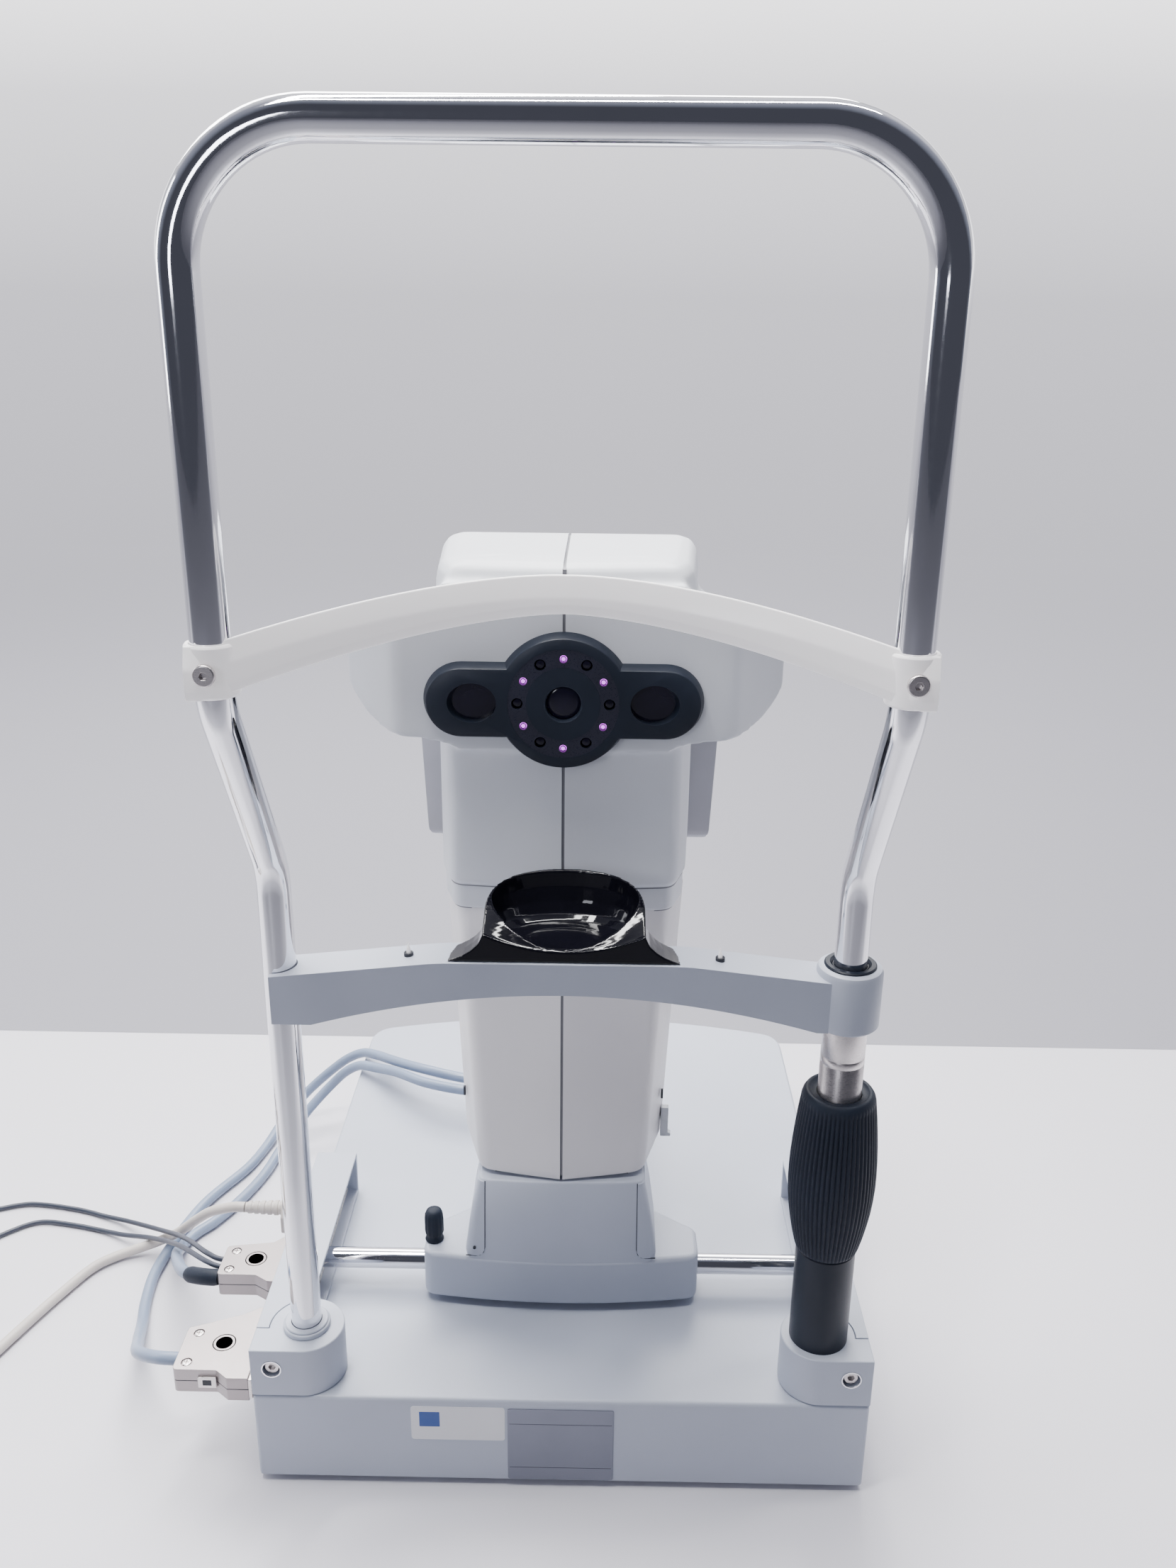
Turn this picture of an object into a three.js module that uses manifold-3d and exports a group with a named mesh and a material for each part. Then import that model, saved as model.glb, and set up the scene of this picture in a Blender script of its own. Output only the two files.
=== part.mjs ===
// Table-top optical biometer with a patient head frame, chin rest and forehead rest.
// Millimetres, +Z up, +Y away from the patient. Inside the groups Y = 0 is the base's front face.
import * as THREE from 'three';
import { mergeVertices } from 'three/addons/utils/BufferGeometryUtils.js';
import Module from 'manifold-3d';

const wasm = await Module();
wasm.setup();

// ---------------------------------------------------------------- driving dimensions
const gap = 0.3;                 // clearance between pieces that touch
const wall = 3;                  // moulded casing thickness

const baseHalf = 165;            // half the base's width
const baseDepth = 408;
const baseTop = 59;
const skirtBottom = 3;
const blockTop = 89;             // top of the post clamps and rail covers
const sealY = 17;                // joint between a post clamp and its rail cover
const railEnd = 174;
const railInner = 142.5;         // inner edge of a rail cover's roof
const railFloor = baseTop + 2.5;

const tubeR = 8;                 // head frame tube
const postX = 138;
const postY = 20;
const upperPostY = -44;
const bendStart = 345;           // height where the posts begin to lean to the patient
const bendAngle = THREE.MathUtils.degToRad(33);
const bendR = 40;
const topBarZ = 665;
const topCornerR = 50;

const sleeveR = 15.5;            // chin-rest sleeve on the right post
const sleeveFoot = 84;
const liftTubeR = 10.9;

const shaftR = 6;                // axle that the cross slide runs along
const shaftY = 90;
const shaftZ = 75.5;
const gearModule = 1.25;
const pinionTeeth = 16;
const pinionR = gearModule * pinionTeeth / 2;

const slideOffset = -2.5;        // the cross slide stands a little left of the middle
const slideHalf = 80;
const slideFront = 67;
const frontBulgeR = 490;
const slideRear = 282;
const slideBottom = 63;
const shoulderTop = 94;
const towerTop = 144.5;
const stickY = 250;
const ballZ = 98;                // centre of the joystick's ball

const seamHalf = 0.9;            // half the gap between left and right casing halves
const headFront = 72;
const headRear = 188;
const headTop = 493;
const lipZ = 310.5;              // bottom of the upper casing
const lipHeight = 14;            // set-back band round its lower edge
const shellBottom = 145.5;
const opticZ = 426.5;            // optical axis
const plateFront = 64;

const barY = [8, 30];            // chin-rest bar, front and back
const restFront = -56;           // forehead rest's front at the posts

const originY = (baseDepth + restFront) / 2;

// ---------------------------------------------------------------- materials
const finish = (color, roughness, metalness = 0) =>
  new THREE.MeshStandardMaterial({ color, roughness, metalness });
const paint = finish(0xb9bdc6, 0.55);
const shellWhite = finish(0xdcdcda, 0.45);
const restWhite = finish(0xe6e4e0, 0.4);
const chrome = finish(0xd8dade, 0.12, 1);
const satinSteel = finish(0xb9b6b3, 0.35, 1);
const blackRubber = finish(0x1c1f27, 0.7);
const blackGloss = finish(0x0b0c10, 0.12);
const blackAnodised = finish(0x20242e, 0.45);
const nickel = finish(0xbcb3ae, 0.4, 0.9);
const blueCable = finish(0x8e9db0, 0.5);
const beigeCable = finish(0xc6bfb5, 0.55);
const darkCable = finish(0x2d323c, 0.5);
const greyPanel = finish(0x8f8e95, 0.6);
const whitePlastic = finish(0xe9e9e6, 0.5);
const glass = finish(0x1a2030, 0.05);
const ledBoard = finish(0x23242c, 0.5);
const boxSteel = finish(0x9a9d9f, 0.45, 0.8);
const boardGreen = finish(0x2f5d46, 0.6);

// ---------------------------------------------------------------- solids and booleans
function toSolid(geometry) {
  const plain = geometry.clone();
  plain.deleteAttribute('normal');
  plain.deleteAttribute('uv');
  const merged = mergeVertices(plain, 1e-4);
  const mesh = new wasm.Mesh({
    numProp: 3,
    vertProperties: new Float32Array(merged.attributes.position.array),
    triVerts: new Uint32Array(merged.index.array),
  });
  return new wasm.Manifold(mesh);
}

function toGeometry(solid) {
  const mesh = solid.getMesh();
  const geometry = new THREE.BufferGeometry();
  geometry.setAttribute('position', new THREE.BufferAttribute(mesh.vertProperties, 3));
  geometry.setIndex(new THREE.BufferAttribute(mesh.triVerts, 1));
  return geometry;
}

const join = (...parts) => toGeometry(parts.map(toSolid).reduce((a, b) => a.add(b)));
const common = (first, second) => toGeometry(toSolid(first).intersect(toSolid(second)));
const cut = (body, ...cutters) =>
  toGeometry(cutters.map(toSolid).reduce((left, tool) => left.subtract(tool), toSolid(body)));

// ---------------------------------------------------------------- shapes
const box = ([x0, x1], [y0, y1], [z0, z1]) =>
  new THREE.BoxGeometry(x1 - x0, y1 - y0, z1 - z0)
    .translate((x0 + x1) / 2, (y0 + y1) / 2, (z0 + z1) / 2);

const asShape = (outline) =>
  outline instanceof THREE.Shape ? outline : new THREE.Shape(outline.map(([x, y]) =>
    new THREE.Vector2(x, y)));

function extrude(outline, depth, curveSegments = 8) {
  return new THREE.ExtrudeGeometry(asShape(outline), { depth, curveSegments, bevelEnabled: false });
}

// An outline in X, Y raised along Z; in X, Z along Y; in Y, Z along X.
const raiseZ = (outline, [z0, z1]) => extrude(outline, z1 - z0).translate(0, 0, z0);
const raiseY = (outline, [y0, y1]) => extrude(outline, y1 - y0).rotateX(Math.PI / 2).translate(0, y1, 0);
const raiseX = (outline, [x0, x1]) => extrude(outline, x1 - x0)
  .applyMatrix4(new THREE.Matrix4().makeBasis(
    new THREE.Vector3(0, 1, 0), new THREE.Vector3(0, 0, 1), new THREE.Vector3(1, 0, 0)))
  .translate(x0, 0, 0);

const discZ = (r, [z0, z1], x = 0, y = 0, sides = 20) =>
  new THREE.CylinderGeometry(r, r, z1 - z0, sides).rotateX(Math.PI / 2).translate(x, y, (z0 + z1) / 2);
const discY = (r, [y0, y1], x = 0, z = 0, sides = 20, rBack = r) =>
  new THREE.CylinderGeometry(rBack, r, y1 - y0, sides).translate(x, (y0 + y1) / 2, z);
const discX = (r, [x0, x1], y = 0, z = 0, sides = 20) =>
  new THREE.CylinderGeometry(r, r, x1 - x0, sides).rotateZ(Math.PI / 2).translate((x0 + x1) / 2, y, z);

// A profile of [radius, height] pairs turned about the vertical through x, y.
const turned = (profile, x = 0, y = 0, sides = 20) =>
  new THREE.LatheGeometry(profile.map(([r, h]) => new THREE.Vector2(r, h)), sides)
    .rotateX(Math.PI / 2).translate(x, y, 0);

// The mirror image in X, with its triangles turned round so that they still face out.
function mirrored(geometry) {
  const position = geometry.attributes.position.clone();
  for (let i = 0; i < position.count; i += 1) position.setX(i, -position.getX(i));
  const copy = new THREE.BufferGeometry();
  copy.setAttribute('position', position);
  const index = geometry.index.array;
  const turnedRound = [];
  for (let i = 0; i < index.length; i += 3) turnedRound.push(index[i], index[i + 2], index[i + 1]);
  copy.setIndex(turnedRound);
  return copy;
}

const mirrorX = (outline) =>
  outline.concat(outline.filter(([x]) => x !== 0).map(([x, y]) => [-x, y]).reverse());

function ringNormal(ring) {
  const normal = new THREE.Vector3();
  ring.forEach((point, i) => {
    const next = ring[(i + 1) % ring.length];
    normal.add(new THREE.Vector3().crossVectors(point, next));
  });
  return normal.normalize();
}

// A closed skin through rings of equally many points, with flat end caps.
function loft(rings) {
  const first = rings[0];
  const last = rings[rings.length - 1];
  const along = last[0].clone().sub(first[0]);
  const ordered = ringNormal(first).dot(along) > 0 ? rings : rings.map((ring) => [...ring].reverse());
  const count = first.length;
  const index = [];
  for (let k = 0; k + 1 < ordered.length; k += 1) {
    for (let i = 0; i < count; i += 1) {
      const a = k * count + i;
      const b = k * count + (i + 1) % count;
      index.push(a, b, b + count, a, b + count, a + count);
    }
  }
  [0, ordered.length - 1].forEach((k) => {
    const normal = ringNormal(ordered[k]);
    const size = [Math.abs(normal.x), Math.abs(normal.y), Math.abs(normal.z)];
    const drop = size.indexOf(Math.max(...size));
    const flat = ordered[k].map((p) => {
      const rest = [p.x, p.y, p.z].filter((_, axis) => axis !== drop);
      return new THREE.Vector2(...rest);
    });
    THREE.ShapeUtils.triangulateShape(flat, []).forEach((face) => {
      const [a, b, c] = face.map((i) => ordered[k][i]);
      const facing = new THREE.Vector3().crossVectors(b.clone().sub(a), c.clone().sub(a)).dot(normal) > 0;
      const keep = k === 0 ? !facing : facing;
      index.push(...(keep ? face : [...face].reverse()).map((i) => k * count + i));
    });
  });
  const geometry = new THREE.BufferGeometry();
  geometry.setAttribute('position',
    new THREE.Float32BufferAttribute(ordered.flat().flatMap((p) => [p.x, p.y, p.z]), 3));
  geometry.setIndex(index);
  return geometry;
}

const loftZ = (sections) =>
  loft(sections.map(([z, outline]) => outline.map(([x, y]) => new THREE.Vector3(x, y, z))));
const loftY = (sections) =>
  loft(sections.map(([y, outline]) => outline.map(([x, z]) => new THREE.Vector3(x, y, z))));

// ---------------------------------------------------------------- tubes
// A path through given stations, so that bends get more stations than straight stretches.
class StationPath extends THREE.Curve {
  constructor(stations) {
    super();
    this.stations = stations;
  }

  getPoint(t, target = new THREE.Vector3()) {
    const last = this.stations.length - 1;
    return target.copy(this.stations[Math.min(last, Math.round(t * last))]);
  }

  getPointAt(u, target) {
    return this.getPoint(u, target);
  }

  getTangentAt(u, target = new THREE.Vector3()) {
    const last = this.stations.length - 1;
    const i = Math.min(last, Math.round(u * last));
    const before = this.stations[Math.max(0, i - 1)];
    const here = this.stations[i];
    const after = this.stations[Math.min(last, i + 1)];
    const back = here.clone().sub(before).normalize();
    const ahead = after.clone().sub(here).normalize();
    return target.copy(back.add(ahead)).normalize();
  }
}

const polygon = (r, sides) => new THREE.Shape(
  Array.from({ length: sides }, (_, i) => {
    const turn = 2 * Math.PI * i / sides;
    return new THREE.Vector2(r * Math.cos(turn), r * Math.sin(turn));
  }));

const sweep = (path, r, sides, steps) =>
  new THREE.ExtrudeGeometry(polygon(r, sides), { steps, extrudePath: path, bevelEnabled: false });

function cord(route, r, stepLength) {
  const path = new THREE.CatmullRomCurve3(route.map((p) => new THREE.Vector3(...p)), false, 'centripetal');
  return sweep(path, r, 8, Math.max(4, Math.round(path.getLength() / stepLength)));
}

function arc(centre, from, axis, angle, steps) {
  return Array.from({ length: steps + 1 }, (_, i) =>
    from.clone().sub(centre).applyAxisAngle(axis, angle * i / steps).add(centre));
}

// Half of the head frame, from a post's foot up to the middle of the top bar.
function postStations(side, foot) {
  const x = side * postX;
  const bendSteps = 3;
  const xAxis = new THREE.Vector3(1, 0, 0);
  const yAxis = new THREE.Vector3(0, 1, 0);
  const start = new THREE.Vector3(x, postY, bendStart);
  const lower = arc(new THREE.Vector3(x, postY - bendR, bendStart), start, xAxis, bendAngle, bendSteps);
  const lean = (postY - upperPostY - 2 * bendR * (1 - Math.cos(bendAngle))) / Math.sin(bendAngle);
  const leanEnd = lower[bendSteps].clone()
    .add(new THREE.Vector3(0, -lean * Math.sin(bendAngle), lean * Math.cos(bendAngle)));
  const bendEnd = leanEnd.z + bendR * Math.sin(bendAngle);
  const upper = arc(new THREE.Vector3(x, upperPostY + bendR, bendEnd), leanEnd, xAxis, -bendAngle,
    bendSteps);
  const cornerCentre = new THREE.Vector3(side * (postX - topCornerR), upperPostY, topBarZ - topCornerR);
  const cornerStart = new THREE.Vector3(x, upperPostY, topBarZ - topCornerR);
  const corner = arc(cornerCentre, cornerStart, yAxis, -side * Math.PI / 2, 7);
  return [new THREE.Vector3(x, postY, foot), ...lower, ...upper, ...corner];
}

function headFrame(r, sides, foot) {
  const stations = [...postStations(-1, foot), ...postStations(1, foot).reverse()];
  return sweep(new StationPath(stations), r, sides, stations.length - 1);
}

// ---------------------------------------------------------------- gears
const pressure = THREE.MathUtils.degToRad(20);
const backlash = 0.3;

// One flank of an involute tooth, as [radius, angle] pairs from root to tip.
function involuteFlank(pitchR, tipR, points = 3) {
  const baseR = pitchR * Math.cos(pressure);
  const involute = (r) => {
    const a = Math.acos(Math.min(1, baseR / r));
    return Math.tan(a) - a;
  };
  return Array.from({ length: points }, (_, i) => {
    const r = baseR + (tipR - baseR) * i / (points - 1);
    return [r, involute(r) - involute(pitchR)];
  });
}

function pinionOutline() {
  const tipR = pinionR + 0.9 * gearModule;
  const rootR = pinionR - 1.25 * gearModule;
  const halfTooth = Math.PI / (2 * pinionTeeth) - backlash / (4 * pinionR);
  const flank = involuteFlank(pinionR, tipR);
  const outline = [];
  for (let tooth = 0; tooth < pinionTeeth; tooth += 1) {
    const middle = -Math.PI / 2 + 2 * Math.PI * tooth / pinionTeeth;
    const sides = [
      [rootR, -halfTooth + flank[0][1]],
      ...flank.map(([r, turn]) => [r, -halfTooth + turn]),
      ...[...flank].reverse().map(([r, turn]) => [r, halfTooth - turn]),
      [rootR, halfTooth - flank[0][1]],
    ];
    sides.forEach(([r, turn]) => {
      outline.push([shaftY + r * Math.cos(middle + turn), shaftZ + r * Math.sin(middle + turn)]);
    });
  }
  return outline;
}

// The rack's side view: straight-flanked teeth, a gap centred under the shaft.
function rackOutline(from, to) {
  const pitch = Math.PI * gearModule;
  const pitchZ = shaftZ - pinionR;
  const addendum = 0.9 * gearModule;
  const dedendum = 1.25 * gearModule;
  const half = pitch / 4 - backlash / 4;
  const outline = [[from, pitchZ - 3.2]];
  outline.push([from, pitchZ - dedendum]);
  const first = Math.ceil((from + pitch - shaftY) / pitch - 0.5);
  const last = Math.floor((to - pitch - shaftY) / pitch - 0.5);
  for (let k = first; k <= last; k += 1) {
    const centre = shaftY + (k + 0.5) * pitch;
    outline.push([centre - half - dedendum * Math.tan(pressure), pitchZ - dedendum]);
    outline.push([centre - half + addendum * Math.tan(pressure), pitchZ + addendum]);
    outline.push([centre + half - addendum * Math.tan(pressure), pitchZ + addendum]);
    outline.push([centre + half + dedendum * Math.tan(pressure), pitchZ - dedendum]);
  }
  outline.push([to, pitchZ - dedendum]);
  outline.push([to, pitchZ - 3.2]);
  return outline;
}

// ---------------------------------------------------------------- scene graph helpers
const whole = new THREE.Group();
whole.position.y = -originY;
const instrument = new THREE.Group();
instrument.position.x = slideOffset;
whole.add(instrument);

function place(parent, name, geometry, material) {
  const mesh = new THREE.Mesh(geometry, material.clone());
  mesh.name = name;
  parent.add(mesh);
}

const sides = [['left', -1], ['right', 1]];

// ---------------------------------------------------------------- base
// The base's plan: straight front and sides, rounded rear corners and a rear edge that bows out.
function basePlan(inset) {
  const half = baseHalf - inset;
  const bow = 21;
  const cornerX = half - 14;
  const cornerY = baseDepth - inset - bow;
  const shape = new THREE.Shape();
  shape.moveTo(-half, inset);
  shape.lineTo(half, inset);
  shape.lineTo(half, cornerY - 22);
  shape.quadraticCurveTo(half, cornerY - 4, cornerX, cornerY);
  shape.quadraticCurveTo(0, cornerY + 2 * bow, -cornerX, cornerY);
  shape.quadraticCurveTo(-half, cornerY - 4, -half, cornerY - 22);
  shape.closePath();
  return shape;
}

function baseHousing() {
  const outer = raiseZ(basePlan(0), [skirtBottom, baseTop]);
  const hollow = raiseZ(basePlan(wall), [skirtBottom - 5, baseTop - wall]);
  return cut(outer, hollow);
}

function bottomPlate() {
  const plate = raiseZ(basePlan(wall + gap), [skirtBottom + 0.5, skirtBottom + 3]);
  const footProfile = [[0, 0], [11, 0], [11, skirtBottom + 2], [0, skirtBottom + 2]];
  const feet = [[-135, 35], [135, 35], [-120, 345], [120, 345]]
    .map(([x, y]) => turned(footProfile, x, y, 16));
  return join(plate, ...feet);
}

place(whole, 'base_housing', baseHousing(), paint);
place(whole, 'base_bottom_plate', bottomPlate(), blackAnodised);
place(whole, 'power_supply', box([-90, 10], [200, 330], [skirtBottom + 3.4, 45]), boxSteel);
place(whole, 'control_board', box([35, 140], [120, 330], [14, 16]), boardGreen);

// ---------------------------------------------------------------- post clamps, rail covers and racks
const postHole = (r, z) => discZ(r, z, postX, postY, 20);

function postClamp(side) {
  const corner = new THREE.Shape();
  corner.moveTo(120, 0);
  corner.lineTo(baseHalf, 0);
  corner.lineTo(baseHalf, sealY);
  corner.lineTo(120, sealY);
  corner.closePath();
  const height = [baseTop + gap, blockTop];
  const screwX = 153.5;
  const screwZ = 77;
  const cutters = [
    postHole(tubeR + gap, [railFloor, blockTop + 1]),
    discY(5, [-1, 5], screwX, screwZ, 24),
    discY(2.7, [4, sealY + 1], screwX, screwZ, 16),
  ];
  if (side > 0) cutters.push(postHole(sleeveR + gap, [sleeveFoot - gap, blockTop + 1]));
  const clamp = cut(join(raiseZ(corner, height), postHole(20, height)), ...cutters);
  return side > 0 ? clamp : mirrored(clamp);
}

function railCover(side) {
  const length = [sealY + gap, railEnd];
  const height = [baseTop + gap, blockTop];
  const roof = box([railInner, baseHalf], length, [blockTop - 2, blockTop]);
  const outerWall = box([baseHalf - wall, baseHalf], length, height);
  const floor = box([railInner - 3, baseHalf], [50, railEnd], [baseTop + gap, railFloor]);
  const frontBlock = box([railInner, baseHalf], [sealY + gap, 54], height);
  const endWall = box([railInner - 3, baseHalf], [railEnd - 3, railEnd], height);
  const cover = cut(join(roof, outerWall, floor, frontBlock, endWall),
    postHole(20 + gap, [baseTop - 1, blockTop + 1]));
  return side > 0 ? cover : mirrored(cover);
}

sides.forEach(([name, side]) => {
  place(whole, `post_clamp_${name}`, postClamp(side), paint);
  place(whole, `rail_cover_${name}`, railCover(side), paint);
  const rackX = side > 0 ? [146, 158] : [-158, -146];
  place(whole, `rack_${name}`, raiseX(rackOutline(56, 170), rackX), whitePlastic);
});

// ---------------------------------------------------------------- head frame and forehead rest
place(whole, 'head_frame_tube', headFrame(tubeR, 14, railFloor + 0.5), chrome);
place(whole, 'post_collar_left', turned(
  [[tubeR + gap, blockTop + gap], [12.5, blockTop + gap], [12.5, 91.5], [11.5, 91.5], [11.5, 93],
    [tubeR + gap, 93], [tubeR + gap, blockTop + gap]], -postX, postY), paint);

function foreheadRest() {
  const steps = 16;
  const overhang = 8;
  const reach = postX + overhang;
  const rings = Array.from({ length: steps + 1 }, (_, i) => {
    const x = -reach + 2 * reach * i / steps;
    const across = Math.min(1, Math.abs(x) / postX);
    const front = restFront + 46 * (1 - across ** 2);
    const bottom = 486 - 27 * across ** 1.5;
    const top = bottom + 16 + 5.5 * across;
    return [[front + 5, bottom], [front + 1.2, bottom], [front, bottom + 1.2],
      [front, top - 1.2], [front + 1.2, top], [front + 5, top]]
      .map(([y, z]) => new THREE.Vector3(x, y, z));
  });
  const saddles = [-1, 1].map((side) => discZ(10.4, [459, 480.5], side * postX, upperPostY, 24));
  return cut(join(loft(rings), ...saddles), headFrame(tubeR + gap + 0.2, 14, railFloor));
}

place(whole, 'forehead_rest', foreheadRest(), restWhite);

// ---------------------------------------------------------------- chin rest
function chinBar() {
  const half = 141;
  const shape = new THREE.Shape();
  shape.moveTo(-half, 280);
  shape.lineTo(-122, 280);
  shape.quadraticCurveTo(-60, 298, 0, 298);
  shape.quadraticCurveTo(60, 298, 122, 280);
  shape.lineTo(postX, 280);
  shape.lineTo(postX, 305.5);
  shape.lineTo(60, 314.5);
  shape.lineTo(-60, 314.5);
  shape.lineTo(-half, 305.5);
  shape.closePath();
  const boss = turned([[0, 280], [16, 280], [16, 310], [15, 311], [13, 311], [13, 312.5], [0, 312.5]],
    postX, postY, 20);
  const fork = box([-half - 1, -postX], [postY - tubeR - 0.6, postY + tubeR + 0.6], [270, 320]);
  const forkRound = discZ(tubeR + 0.6, [270, 320], -postX, postY);
  const pinHoles = [-75, 75].map((x) => discZ(1.7, [300, 320], x, 19, 12));
  const bore = discZ(tubeR + 0.6, [270, 320], postX, postY);
  return cut(join(raiseY(shape, barY), boss), fork, forkRound, bore, ...pinHoles);
}

function chinCup() {
  const base = 314.8;
  const front = 9.5;
  const rear = 58;
  const plan = new THREE.Shape();
  plan.moveTo(-38.7, front);
  plan.lineTo(38.7, front);
  plan.bezierCurveTo(38.7, 42, 22, rear, 0, rear);
  plan.bezierCurveTo(-22, rear, -38.7, 42, -38.7, front);
  const side = [[front, base], [rear - 8, base], [rear + 1, 330], [rear + 1, 343], [50, 343], [28, 335],
    [front, 324]];
  const bowl = common(raiseZ(plan, [base, 350]), raiseX(side, [-40, 40]));
  const skirt = new THREE.Shape();
  skirt.moveTo(-56, base);
  skirt.lineTo(56, base);
  skirt.quadraticCurveTo(44, 320, 38, 328);
  skirt.lineTo(-38, 328);
  skirt.quadraticCurveTo(-44, 320, -56, base);
  const flare = common(raiseY(skirt, [front, 29.5]),
    raiseX([[front, base - 1], [29.5, base - 1], [29.5, 335], [front, 324]], [-57, 57]));
  const hollow = new THREE.SphereGeometry(1, 18, 12).scale(35, 23, 24).translate(0, 31.5, 342);
  return cut(join(bowl, flare), hollow);
}

place(whole, 'chinrest_bar', chinBar(), paint);
place(whole, 'chin_cup', chinCup(), blackGloss);

const tubeBottom = 116;
const tubeTop = 279.7;
place(whole, 'chinrest_lift_tube', turned(
  [[8.6, tubeBottom], [liftTubeR, tubeBottom], [liftTubeR, tubeTop], [8.6, tubeTop], [8.6, tubeBottom]],
  postX, postY), satinSteel);
const sleeveTop = 147.6;
place(whole, 'chinrest_sleeve', turned(
  [[tubeR + gap, sleeveFoot], [sleeveR, sleeveFoot], [sleeveR, sleeveTop], [11.3, sleeveTop], [11.3, 91],
    [tubeR + gap, 91], [tubeR + gap, sleeveFoot]], postX, postY), blackAnodised);
place(whole, 'chinrest_knob', turned(
  [[11.3, 148], [16.2, 148], [18.6, 158], [21, 172], [22.2, 187], [21.9, 203], [20.6, 220], [18.8, 236],
    [18, 242], [14, 240.5], [11.3, 240.5], [11.3, 148]], postX, postY, 22), blackRubber);

// ---------------------------------------------------------------- axle
function axleShaft() {
  const journal = 145.5;
  const end = 160.5;
  return join(discX(shaftR, [-journal, journal], shaftY, shaftZ),
    discX(4, [-end, end], shaftY, shaftZ, 24));
}

place(whole, 'axle_shaft', axleShaft(), chrome);
sides.forEach(([name, side]) => {
  const along = (x0, x1) => (side > 0 ? [x0, x1] : [-x1, -x0]);
  const bore = discX(4 + gap, along(140, 165), shaftY, shaftZ, 24);
  place(whole, `pinion_${name}`, cut(raiseX(pinionOutline(), along(147, 157)), bore), whitePlastic);
  const guide = box(along(158.5, 161.5), [shaftY - 10, shaftY + 10], [railFloor + 0.4, blockTop - 2.4]);
  place(whole, `axle_guide_${name}`, cut(guide, bore), whitePlastic);
});

// ---------------------------------------------------------------- cross slide
const bulge = (x) => slideFront + x * x / (2 * frontBulgeR);

// Plan of the wide front part: bowed front, straight ends, sides that slant in to the rear arm.
function slidePlan(inset) {
  const half = slideHalf - inset;
  const front = Array.from({ length: 17 }, (_, i) => {
    const x = -half + 2 * half * i / 16;
    return [x, bulge(x) + inset];
  });
  return [...front, [half, 98 - inset], [53 - inset, 118 - inset], [-53 + inset, 118 - inset],
    [-half, 98 - inset]];
}

function towerSection(z, half, setback) {
  const front = Array.from({ length: 9 }, (_, i) => {
    const x = -half + half * i / 4;
    return [x, bulge(x) + setback];
  });
  return [z, [...front, [half, 117], [-half, 117]]];
}

const columnHalf = 38;
const columnY = [82, 112];

function slideHousing() {
  const armHalf = 45;
  const solid = join(
    raiseZ(slidePlan(0), [slideBottom, shoulderTop]),
    loftZ([towerSection(shoulderTop - 2, 55, 0.4), towerSection(120, 52.5, 1.5),
      towerSection(towerTop, 48, 4)]),
    box([-armHalf, armHalf], [110, slideRear], [slideBottom, shoulderTop]),
    discZ(16, [84, 103], 0, stickY),
    discX(6.5, [-58, -armHalf + 1], 256, 84, 24),
    discX(6.5, [-58, -armHalf + 1], 270, 84, 24),
  );
  return cut(
    solid,
    raiseZ(slidePlan(wall), [slideBottom - 5, shoulderTop - wall]),
    cut(box([-armHalf + wall, armHalf - wall], [110, slideRear - wall],
      [slideBottom - 5, shoulderTop - wall]),
      discZ(16, [84, 103], 0, stickY)),
    box([-columnHalf - 0.5, columnHalf + 0.5], [columnY[0] - 0.5, columnY[1] + 0.5], [80, towerTop + 1]),
    discX(shaftR + 1, [-slideHalf - 1, slideHalf + 1], shaftY, shaftZ),
    new THREE.SphereGeometry(9.4, 14, 8).translate(0, stickY, ballZ),
  );
}

function bearingCarrier() {
  const body = box([-72, 72], [81, 97.5], [66, 86]);
  return cut(body, discX(shaftR + 0.2, [-77, 77], shaftY, shaftZ));
}

place(instrument, 'slide_housing', slideHousing(), paint);
place(instrument, 'slide_glide_plate', box([-42, 42], [125, 275], [baseTop + 1, slideBottom - gap]),
  blackAnodised);
place(instrument, 'bearing_carrier', bearingCarrier(), boxSteel);
place(instrument, 'slide_lock_knob', turned(
  [[0, 94.3], [5, 94.3], [5.6, 96], [5.6, 105], [5, 114], [4, 115], [0, 115]], -74.5, 85, 24), blackRubber);
place(instrument, 'lift_spindle', discZ(5, [87, 136], 0, 97, 24), satinSteel);

// ---------------------------------------------------------------- joystick
place(instrument, 'joystick_ball', new THREE.SphereGeometry(9, 14, 8).translate(0, stickY, ballZ), chrome);
place(instrument, 'joystick_stem', turned(
  [[0, 107.4], [4.5, 107.4], [4.5, 128], [3.5, 130], [3.5, 138], [0, 138]], 0, stickY, 24), blackAnodised);
place(instrument, 'joystick_grip', turned(
  [[4, 130.4], [11, 130.4], [13, 134], [11.5, 150], [12.5, 168], [12.5, 172], [11, 175], [6, 175], [6, 168],
    [4, 168], [4, 130.4]], 0, stickY, 20), blackRubber);
place(instrument, 'joystick_button', turned(
  [[0, 171], [5.6, 171], [5.6, 177], [4.6, 178], [0, 178]], 0, stickY, 24), greyPanel);

// ---------------------------------------------------------------- head casings
// Plan of the head at one height: a shallow keel in front, sides that widen to the rear.
function headPlan(front, keel, half, midY, midHalf, rear, rearHalf) {
  const cornerY = (x) => front + keel * x;
  return mirrorX([
    [0, cornerY(0)], [half - 5, cornerY(half - 5)], [half - 1.5, cornerY(half) + 1.5],
    [half, cornerY(half) + 5], [midHalf, midY], [rearHalf, rear], [0, rear],
  ]);
}

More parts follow.
